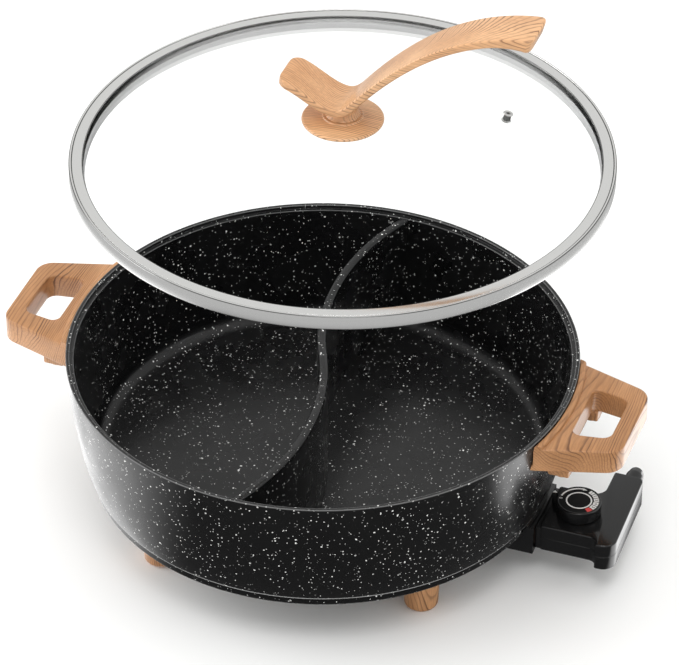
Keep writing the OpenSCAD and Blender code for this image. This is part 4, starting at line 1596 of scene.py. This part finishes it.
@dataclass
class Control:
    """Plug-in control: two shells, a gland and what they hold."""

    neck_x: float = 155.6
    neck_w: float = 22
    neck_len: float = 29.2
    head_len: float = 22
    head_front: float = 28.5
    head_rear: float = 48
    taper: float = 2.2
    arm_cut: float = 9.5
    collar: float = 3
    collar_cut: float = 0.5
    collar_top: float = 39.2
    low_z: float = 22
    split_z: float = 32
    top_z: float = 41.5
    wall: float = 2
    edge: float = 1.3
    seam: float = 0.25
    dial_x: float = 174.8
    pointer_turn: float = math.radians(165)
    pointer_h: float = 8.2
    gland_z: float = 33.5
    gland_r: float = 5.8
    gland_neck: float = 4.8
    gland_flange: float = 5.5
    gland_len: float = 14
    cord_r: float = 3.7

    def outline(self, d: float) -> list[Point2]:
        """The control seen from above, drawn in by d.

        Args:
            d: How far it is drawn in.

        Returns:
            Points of the outline.
        """
        low_x, head_x = self.neck_x + d, self.neck_x + self.neck_len + d
        end = self.neck_x + self.neck_len + self.head_len - d
        front, rear, width = -self.head_front + d, self.head_rear - d, self.neck_w - d
        outer, tip = max(2 - d, 0.2), max(1.2 - d, 0.2)
        return rounded(
            [(low_x, -width, outer), (head_x + self.arm_cut, -width, 5.5 + d),
             (head_x + self.arm_cut, front, 0.8), (end, front, 9 - d),
             (end - self.taper, rear, 4.5 - d), (head_x, rear, tip), (head_x, width, 8 + d),
             (low_x, width, outer)], 9,
        )

    def shell(self, name: str, face_z: float, edge: float) -> bpy.types.Object:
        """Builds one shell as a hollow tray, open at the split.

        Args:
            name: Its name.
            face_z: Height of its closed face.
            edge: Radius round its closed face.

        Returns:
            The shell.
        """
        seam_z = self.split_z
        up = 1 if face_z > seam_z else -1
        inner = [(self.wall, face_z - up * self.wall), (self.wall, seam_z)]
        outer = [(self.seam, seam_z), (0.0, seam_z + up * self.seam)]
        outer += [(d, face_z - up * h) for d, h in edge_steps(edge, 5)]
        solid = Solid()
        solid.stack(self.outline, inner + outer)
        width = self.neck_w - self.collar_cut
        low, high = sorted((seam_z, self.collar_top if up > 0 else face_z + self.collar_cut))
        solid.block(
            (self.neck_x - self.collar, -width, low), (self.neck_x + 1, width, high), self.seam
        )
        return solid.piece(name, 40)

    def build_pointer(self) -> tuple[bpy.types.Object, bpy.types.Object]:
        """Builds the fixed pointer beside the dial, and its white mark."""
        tip, back, half = 15.5, 19.5, 1.8
        top = self.top_z + self.pointer_h
        flat = [(tip + 0.9, 0), (back - 0.5, -half + 0.55), (back - 0.5, half - 0.55)]

        def plan(d: float) -> list[Point2]:
            """The pointer seen from above, drawn in by d."""
            corners = [(tip + 1.6 * d, 0, 0.3), (back - d, -half + d, 0.4), (back - d, half - d, 0.4)]
            return rounded(corners, 3)

        made = []
        for name, shape, layers in (
            ("dial_pointer", plan,
             [(0.0, self.top_z - 0.5)] + [(d, top - h) for d, h in edge_steps(0.3, 2)]),
            ("dial_pointer_mark", lambda _: flat, [(0.0, top - 0.1), (0.0, top + 0.05)]),
        ):
            solid = Solid()
            solid.stack(shape, layers)
            solid.move(shift(self.dial_x, 0, 0) @ spin(self.pointer_turn))
            made.append(solid.piece(name))
        return tuple(made)

    def build_gland(self) -> bpy.types.Object:
        """Builds the cord gland: a rounded stub with a flange and a hole."""
        r, body, cord, end = self.gland_r, self.gland_neck, self.cord_r, self.gland_len
        profile = [
            (cord, -4), (self.gland_flange, -4), (self.gland_flange, -2.15), (body, -2.15),
            (body, 0.15), (r, 0.15, 0.3), (r, end * 0.6, 3), (r - 1.2, end * 0.93, 1.2),
            (cord + 0.5, end, 0.4), (cord, end, 0.2),
        ]
        gland_x = self.neck_x + self.neck_len + self.head_len * 0.5
        move = shift(gland_x, self.head_rear, self.gland_z) @ spin(-math.pi / 2, "X")
        return turned("cord_gland_stub", profile, 5, 64, move, 45)

    def dress(self) -> None:
        """Builds and dresses the control."""
        top = self.shell("control_lid_shell", self.top_z, self.edge)
        settle(top, BLACK, "control", "black_plastic", "control_top_shell")
        base = self.shell("control_base_shell", self.low_z, 0.8)
        settle(base, BLACK, "control", "black_plastic", "control_bottom_shell")
        post, mark = self.build_pointer()
        settle(post, BLACK, "control", "black_plastic")
        settle(mark, PRINT_WHITE, "control", "black_plastic")
        settle(self.build_gland(), GLOSS, "control", "gloss_black", "cord_gland")
        plug = dressed_copy("connector_block", "plug_block", 0.4)
        settle(plug, BROWN, "control", "brown_plastic", "connector_block")
        dress_nodes({
            BRASS: ("contact_sleeves", "bimetal_leaf", "contact_leaf"),
            STEEL: ("temperature_probe",),
            CERAMIC: ("thermostat_plate", "thermostat_post"),
        })


@dataclass
class Dial:
    """Round dial with a printed scale of numbered blocks."""

    x: float = 174.8
    low_z: float = 41.9
    radius: float = 14.5
    rim: float = 1.5
    height: float = 9.2
    edge: float = 0.9
    face_drop: float = 0.3
    bore: float = 3.05
    bore_h: float = 5
    ring_r: float = 8.5
    ring_w: float = 1.0
    scale_in: float = 9.2
    scale_out: float = 12.85
    blocks: int = 5
    block_start: float = math.radians(70)
    block_step: float = math.radians(-20.2)
    block_share: float = 0.86
    print_t: float = 0.04
    arrow_r: Point2 = (11.5, 12.6)
    arrow_start: float = math.radians(93)
    arrow_sweep: float = math.radians(82)
    zero_turn: float = math.radians(187)
    number_r: float = 11.2
    number_h: float = 2.9
    number_lift: float = 0.05

    def face_z(self) -> float:
        """Height of the printed face."""
        return self.low_z + self.height - self.face_drop

    def at(self) -> Matrix:
        """Move to the dial's axis at the height of its face."""
        return shift(self.x, 0, self.face_z())

    def build_knob(self) -> bpy.types.Object:
        """Builds the knob, with a raised rim round the sunken face."""
        r, top, face = self.radius, self.height, self.height - self.face_drop
        profile = [
            (self.bore, 0), (r - 0.3, 0, 0.3), (r, 1, 0.3), (r, top, self.edge),
            (r - self.rim, top, 0.25), (r - self.rim, face), (0, face), (0, self.bore_h),
            (self.bore, self.bore_h),
        ]
        return turned("black_dial", profile, 5, 128, shift(self.x, 0, self.low_z))

    def sector(
        self, solid: Solid, inner: float, outer: float, start: float, sweep: float, steps: int
    ) -> None:
        """Adds a flat printed stretch of a ring.

        Args:
            solid: The mesh that takes it.
            inner: Inner radius.
            outer: Outer radius.
            start: Angle of its first end.
            sweep: Angle that it covers.
            steps: Stretches of it.
        """
        t = self.print_t
        solid.lathe([(inner, 0), (outer, 0), (outer, t), (inner, t)], steps, start, sweep)

    def block(self, solid: Solid, number: int, inner: float) -> None:
        """Adds one block of the scale from its inner radius out."""
        start, sweep = self.block_start + self.block_step * number, self.block_step * self.block_share
        self.sector(solid, inner, self.scale_out, start, sweep, 6)

    def build_print(self) -> bpy.types.Object:
        """Builds the white print: middle ring, numbered blocks, turning arrow and zero."""
        solid = Solid()
        self.sector(solid, self.ring_r - self.ring_w, self.ring_r, 0, math.tau, 96)
        for i in range(self.blocks):
            self.block(solid, i, self.scale_in + 0.9 * (self.blocks - 1 - i) / self.blocks)
        self.sector(solid, *self.arrow_r, self.arrow_start, self.arrow_sweep, 36)
        solid.move(self.at())
        head = Solid()
        tip, back = self.arrow_start - math.radians(13), self.arrow_start + math.radians(1)
        corners = [polar(11.8, tip, 0).xy, polar(12.95, back, 0).xy, polar(10.7, back, 0).xy]
        head.stack(lambda _: corners, [(0, 0), (0, self.print_t)])
        head.move(self.at())
        zero = self.digit("0", self.zero_turn, self.number_r + 0.5, self.number_h + 0.1)
        return merged(solid.piece("dial_print"), [head.piece("dial_arrow_head"), zero])

    def digit(
        self, text: str, angle: float, reach: float, size: float, lift: float = 0.0
    ) -> bpy.types.Object:
        """Makes a flat numeral on the face.

        Args:
            text: The numeral.
            angle: Its direction from the dial's axis.
            reach: Its distance from that axis.
            size: Its height.
            lift: How far it is raised off the face.

        Returns:
            The numeral as a mesh.
        """
        curve = bpy.data.curves.new("numeral", "FONT")
        curve.body = text
        curve.size = size
        curve.align_x = curve.align_y = "CENTER"
        curve.extrude = self.print_t * 0.75
        curve.resolution_u = 3
        thing = linked("numeral_" + text, curve)
        mesh = baked(thing)
        bpy.data.objects.remove(thing)
        place = spin(angle) @ shift(reach, 0, curve.extrude + lift) @ spin(-math.pi / 2)
        mesh.transform(Matrix.Scale(MM, 4) @ self.at() @ place)
        return linked("numeral_" + text, mesh)

    def dress(self) -> None:
        """Builds and dresses the dial."""
        knob = settle(self.build_knob(), GLOSS, "dial", "gloss_black", "dial_knob", "dial_plate")
        part_finish(knob, DIAL_FACE, lambda p: abs(p.z - self.face_z()) < 0.01)
        settle(self.build_print(), PRINT_WHITE, "dial", "gloss_black")
        half = self.block_share / 2
        numbers = [
            self.digit(
                str(i + 1), self.block_start + self.block_step * (i + half), self.number_r,
                self.number_h, self.number_lift,
            )
            for i in range(self.blocks)
        ]
        first = merged(numbers[0], numbers[1:])
        first.name = "dial_numbers"
        settle(first, GLOSS, "dial", "gloss_black")
        hot = Solid()
        self.block(hot, self.blocks, self.scale_in)
        hot.move(self.at())
        settle(hot.piece("dial_hot_block"), PRINT_RED, "dial", "gloss_black")
        dress_nodes({STEEL: ("dial_shaft",)})


# ---------------------------------------------------------------- screws


@dataclass
class Screws:
    """Cross-recessed screw heads, placed by a Geometry Nodes tree.

    Attributes:
        handles_z: Height of the handle screws' heads.
        shroud: Place of the shroud's screw at +Y; the other one mirrors it.
        case: Places of the screws that hold the control's shells together.
    """

    handles_z: float = 100
    shroud: Triple = (128.8, 32, 36.95)
    case: tuple[Triple, ...] = ((200.3, -21.5, 25), (200.3, 28, 25), (164.8, 15.5, 25))

    def tree(self) -> bpy.types.NodeTree:
        """Builds the tree that sets a head with a cross recess on each point."""
        tree = bpy.data.node_groups.new("Screw heads", "GeometryNodeTree")
        face = tree.interface
        face.new_socket(name="Geometry", in_out="INPUT", socket_type="NodeSocketGeometry")
        for name in ("Head radius", "Head height", "Recess width"):
            face.new_socket(name=name, in_out="INPUT", socket_type="NodeSocketFloat")
        face.new_socket(name="Finish", in_out="INPUT", socket_type="NodeSocketMaterial")
        face.new_socket(name="Geometry", in_out="OUTPUT", socket_type="NodeSocketGeometry")
        g = Graph(tree)
        given = g.add("NodeGroupInput").outputs
        radius, height, slot = (given[i] for i in (1, 2, 3))
        head = g.add(
            "GeometryNodeMeshCone",
            {"Vertices": 32, "Radius Top": g.math("MULTIPLY", radius, 0.74),
             "Radius Bottom": radius, "Depth": height},
        )
        flip = g.add("GeometryNodeTransform", {0: head.outputs[0], "Rotation": (math.pi, 0.0, 0.0)})
        reach = g.math("MULTIPLY", radius, 1.15)
        bars = g.add("GeometryNodeJoinGeometry")
        for wide, deep in ((reach, slot), (slot, reach)):
            span = g.add("ShaderNodeCombineXYZ", {0: wide, 1: deep, 2: height})
            bar = g.add("GeometryNodeMeshCube", {"Size": span.outputs[0]})
            tree.links.new(bar.outputs[0], bars.inputs[0])
        low = g.add("ShaderNodeCombineXYZ", {2: g.math("MULTIPLY", height, -1.0)})
        sunk = g.add("GeometryNodeTransform", {0: bars.outputs[0], "Translation": low.outputs[0]})
        cut = g.add("GeometryNodeMeshBoolean", {0: flip.outputs[0]}, operation="DIFFERENCE")
        tree.links.new(sunk.outputs[0], cut.inputs[1])
        points = g.add("GeometryNodeMeshToPoints", {0: given["Geometry"]})
        placed = g.add(
            "GeometryNodeInstanceOnPoints", {"Points": points.outputs[0], "Instance": cut.outputs[0]}
        )
        real = g.add("GeometryNodeRealizeInstances", {0: placed.outputs[0]})
        final = g.add("GeometryNodeSetMaterial", {0: real.outputs[0], "Material": given["Finish"]})
        g.add("NodeGroupOutput", {0: final.outputs[0]})
        return tree

    def place(
        self, tree: bpy.types.NodeTree, name: str, places: Sequence[Corner], sizes: dict[str, float]
    ) -> bpy.types.Object:
        """Sets heads at places.

        Args:
            tree: The Geometry Nodes tree.
            name: Name of the piece.
            places: Where each head's underside lies; it points down.
            sizes: Values by input name.

        Returns:
            The heads as one plain mesh.
        """
        mesh = bpy.data.meshes.new(name)
        mesh.from_pydata([Vector(p) * MM for p in places], [], [])
        thing = linked(name, mesh)
        modifier = thing.modifiers.new("heads", "NODES")
        modifier.node_group = tree
        for socket in tree.interface.items_tree:
            if socket.in_out == "INPUT" and socket.name in sizes:
                modifier[socket.identifier] = sizes[socket.name] * MM
            if socket.in_out == "INPUT" and socket.name == "Finish":
                modifier[socket.identifier] = STEEL.material()
        thing.data = baked(thing)
        thing.modifiers.clear()
        thing.data.shade_smooth()
        thing.data.set_sharp_from_angle(angle=math.radians(30))
        return thing

    def dress(self) -> None:
        """Places the heads that show from below."""
        tree = self.tree()
        feet = [(*middle(node).xy, Feet.recess) for node in Feet.nodes]
        x, y = SideHandle.screw_x, SideHandle.lug_y
        handles = [(sx * x, sy * y, self.handles_z) for sx in (-1, 1) for sy in (-1, 1)]
        x, y, z = self.shroud
        shroud = [(x, sy * y, z) for sy in (-1, 1)]
        for node, body, places, radius, height in (
            ("foot_screws", "pot", feet, 4.0, 2.6),
            ("handle_screws", "pot", handles, 3.6, 2.4),
            ("shroud_screws", "pot", shroud, 3.2, 2.0),
            ("control_screws", "control", self.case, 2.4, 1.8),
        ):
            sizes = {"Head radius": radius, "Head height": height, "Recess width": radius * 0.28}
            heads = self.place(tree, node.replace("screws", "screw_heads"), places, sizes)
            settle(heads, STEEL, body, "steel", node)


# ---------------------------------------------------------------- studio


@dataclass
class Studio:
    """Pale floor, soft lamps and the photograph's camera, in metres and watts."""

    azimuth: float = math.radians(19.62)
    elevation: float = math.radians(36.45)
    roll: float = math.radians(0.21)
    distance: float = 2.868
    focal_px: float = 4431.0
    sensor: float = 36.0
    target: Triple = (0.0011, 0.0287, 0.1209)
    lamps_at: Triple = (0.0, 0.0, 0.12)
    floor_size: float = 14.0
    sky: float = 0.90
    mirror_sky: float = 0.78
    # Strengths of the floor's painted glow that only reflections see.
    left_reflection_glow: float = 2.3
    right_reflection_glow: float = 3.2
    front_reflection_glow: float = 0.12
    far_reflection_glow: float = 0.55

    def camera(self) -> None:
        """Places the camera at the photograph's viewing angle."""
        data = bpy.data.cameras.new("photo_camera")
        data.sensor_fit = "HORIZONTAL"
        data.sensor_width = self.sensor
        data.lens = self.focal_px * self.sensor / PHOTO_WIDTH
        data.clip_end = 100.0
        back = polar(
            math.cos(self.elevation), self.azimuth - math.pi / 2, math.sin(self.elevation)
        )
        look = back.to_track_quat("Z", "Y").to_matrix().to_4x4()
        cam = linked("photo_camera", data)
        place = Vector(self.target) + back * self.distance
        cam.matrix_world = Matrix.Translation(place) @ look @ spin(self.roll)
        bpy.context.scene.camera = cam

    def floor(self) -> None:
        """Lays a pale floor with the shadow on it; to reflections it shows a painted glow, bright at
        the left and dim at the front.
        """
        half = self.floor_size / 2 / MM
        corners = [(-half, -half), (half, -half), (half, half), (-half, half)]
        solid = Solid()
        solid.stack(lambda _: corners, [(0, -20), (0, 0)])
        thing = solid.piece("studio_floor")
        mat = bpy.data.materials.new("pale_floor")
        mat.use_nodes = True
        g = Graph(mat.node_tree)
        place = g.place()
        color = g.mix(g.noise(place, 3.0), rgba((0.95, 0.95, 0.945)), rgba((0.97, 0.97, 0.965)))
        shader = g.add(
            "ShaderNodeBsdfPrincipled",
            {"Base Color": color, "Roughness": 0.6, "Specular IOR Level": 0.25},
        )
        # Painted reflection: for glossy rays the floor is a glow, bright at the left and beside the
        # control's right side, dim in front and grey further out.
        reach = g.length(place)
        parts = g.add("ShaderNodeSeparateXYZ", {0: place}).outputs
        left = g.math("DIVIDE", g.math("MULTIPLY", parts[0], -1.0), reach)
        right = g.math(
            "MULTIPLY", g.spread(parts[0], 0.205, 0.225, 0.0, self.right_reflection_glow),
            g.spread(parts[1], -0.045, -0.02),
        )
        near = g.most([g.spread(left, 0.40, 0.95, self.front_reflection_glow, self.left_reflection_glow), right])
        strength = g.mix(g.spread(reach, 0.34, 0.48), near, rgba((self.far_reflection_glow,) * 3))
        reflection_glow = g.add("ShaderNodeEmission", {"Strength": strength})
        path = g.add("ShaderNodeLightPath").outputs
        mirrored = g.math("SUBTRACT", path["Is Glossy Ray"], path["Is Transmission Ray"], clamp=True)
        seen = g.most([path["Is Camera Ray"], path["Is Transmission Ray"]])
        far = g.math("MULTIPLY", seen, g.spread(reach, 0.45, 1.6))
        backdrop = g.add("ShaderNodeEmission", {"Strength": 1.0})
        whole = g.blend(far, g.blend(mirrored, shader, reflection_glow), backdrop)
        g.add("ShaderNodeOutputMaterial", {0: whole.outputs[0]})
        mat.cycles.emission_sampling = "NONE"
        thing.data.materials.append(mat)

    def world(self) -> None:
        """Soft even light, and white for what looks straight at it."""
        world = bpy.data.worlds.new("studio")
        bpy.context.scene.world = world
        world.use_nodes = True
        g = Graph(world.node_tree)
        path = g.add("ShaderNodeLightPath").outputs
        mirror = g.math("MULTIPLY_ADD", path["Is Glossy Ray"], self.mirror_sky - self.sky, self.sky)
        strength = g.most([path["Is Camera Ray"], path["Is Transmission Ray"], mirror])
        sky = g.add("ShaderNodeBackground", {"Color": (1.0, 1.0, 0.99, 1.0), "Strength": strength})
        g.add("ShaderNodeOutputWorld", {0: sky.outputs[0]})

    def lamp(
        self, name: str, place: Triple, size: Point2, power: float, mirrored: bool = True
    ) -> None:
        """Adds a soft rectangular lamp that points at the pot.

        Args:
            name: Its name.
            place: Where it stands.
            size: Its width and height.
            power: Its power in watts.
            mirrored: False where no surface mirrors it.
        """
        data = bpy.data.lights.new(name, "AREA")
        data.shape = "RECTANGLE"
        data.size, data.size_y = size
        data.energy = power
        lamp = linked(name, data)
        lamp.location = place
        back = Vector(place) - Vector(self.lamps_at)
        lamp.rotation_euler = back.to_track_quat("Z", "Y").to_euler()
        lamp.visible_glossy = lamp.visible_transmission = mirrored

    def build(self) -> None:
        """Sets up camera, floor, world and lamps."""
        self.camera()
        self.floor()
        self.world()
        self.lamp("left_window", (-1.15, -0.35, 0.62), (1.0, 0.8), 8.0)
        self.lamp("top_light", (0.1, 0.3, 2.2), (1.8, 1.8), 9.0, mirrored=False)
        self.lamp("front_light", (0.45, -1.1, 2.1), (0.8, 0.8), 10.0)
        self.lamp("right_strip", (1.5, -0.1, 1.15), (1.0, 0.25), 2.0)
        bpy.context.scene.view_settings.view_transform = "Standard"


# ---------------------------------------------------------------- making


def main() -> None:
    """Builds the studio and every sub-assembly in order."""
    logging.basicConfig(level=logging.INFO, format="%(name)s: %(message)s")
    Studio().build()
    bowl = Bowl()
    bowl.dress()
    Feet().dress()
    for turn in Turn:
        SideHandle(bowl, turn).dress()
    lid = Lid()
    lid.dress()
    LidHandle(lid).dress()
    Control().dress()
    Dial().dress()
    Screws().dress()


if __name__ == "__main__":
    main()
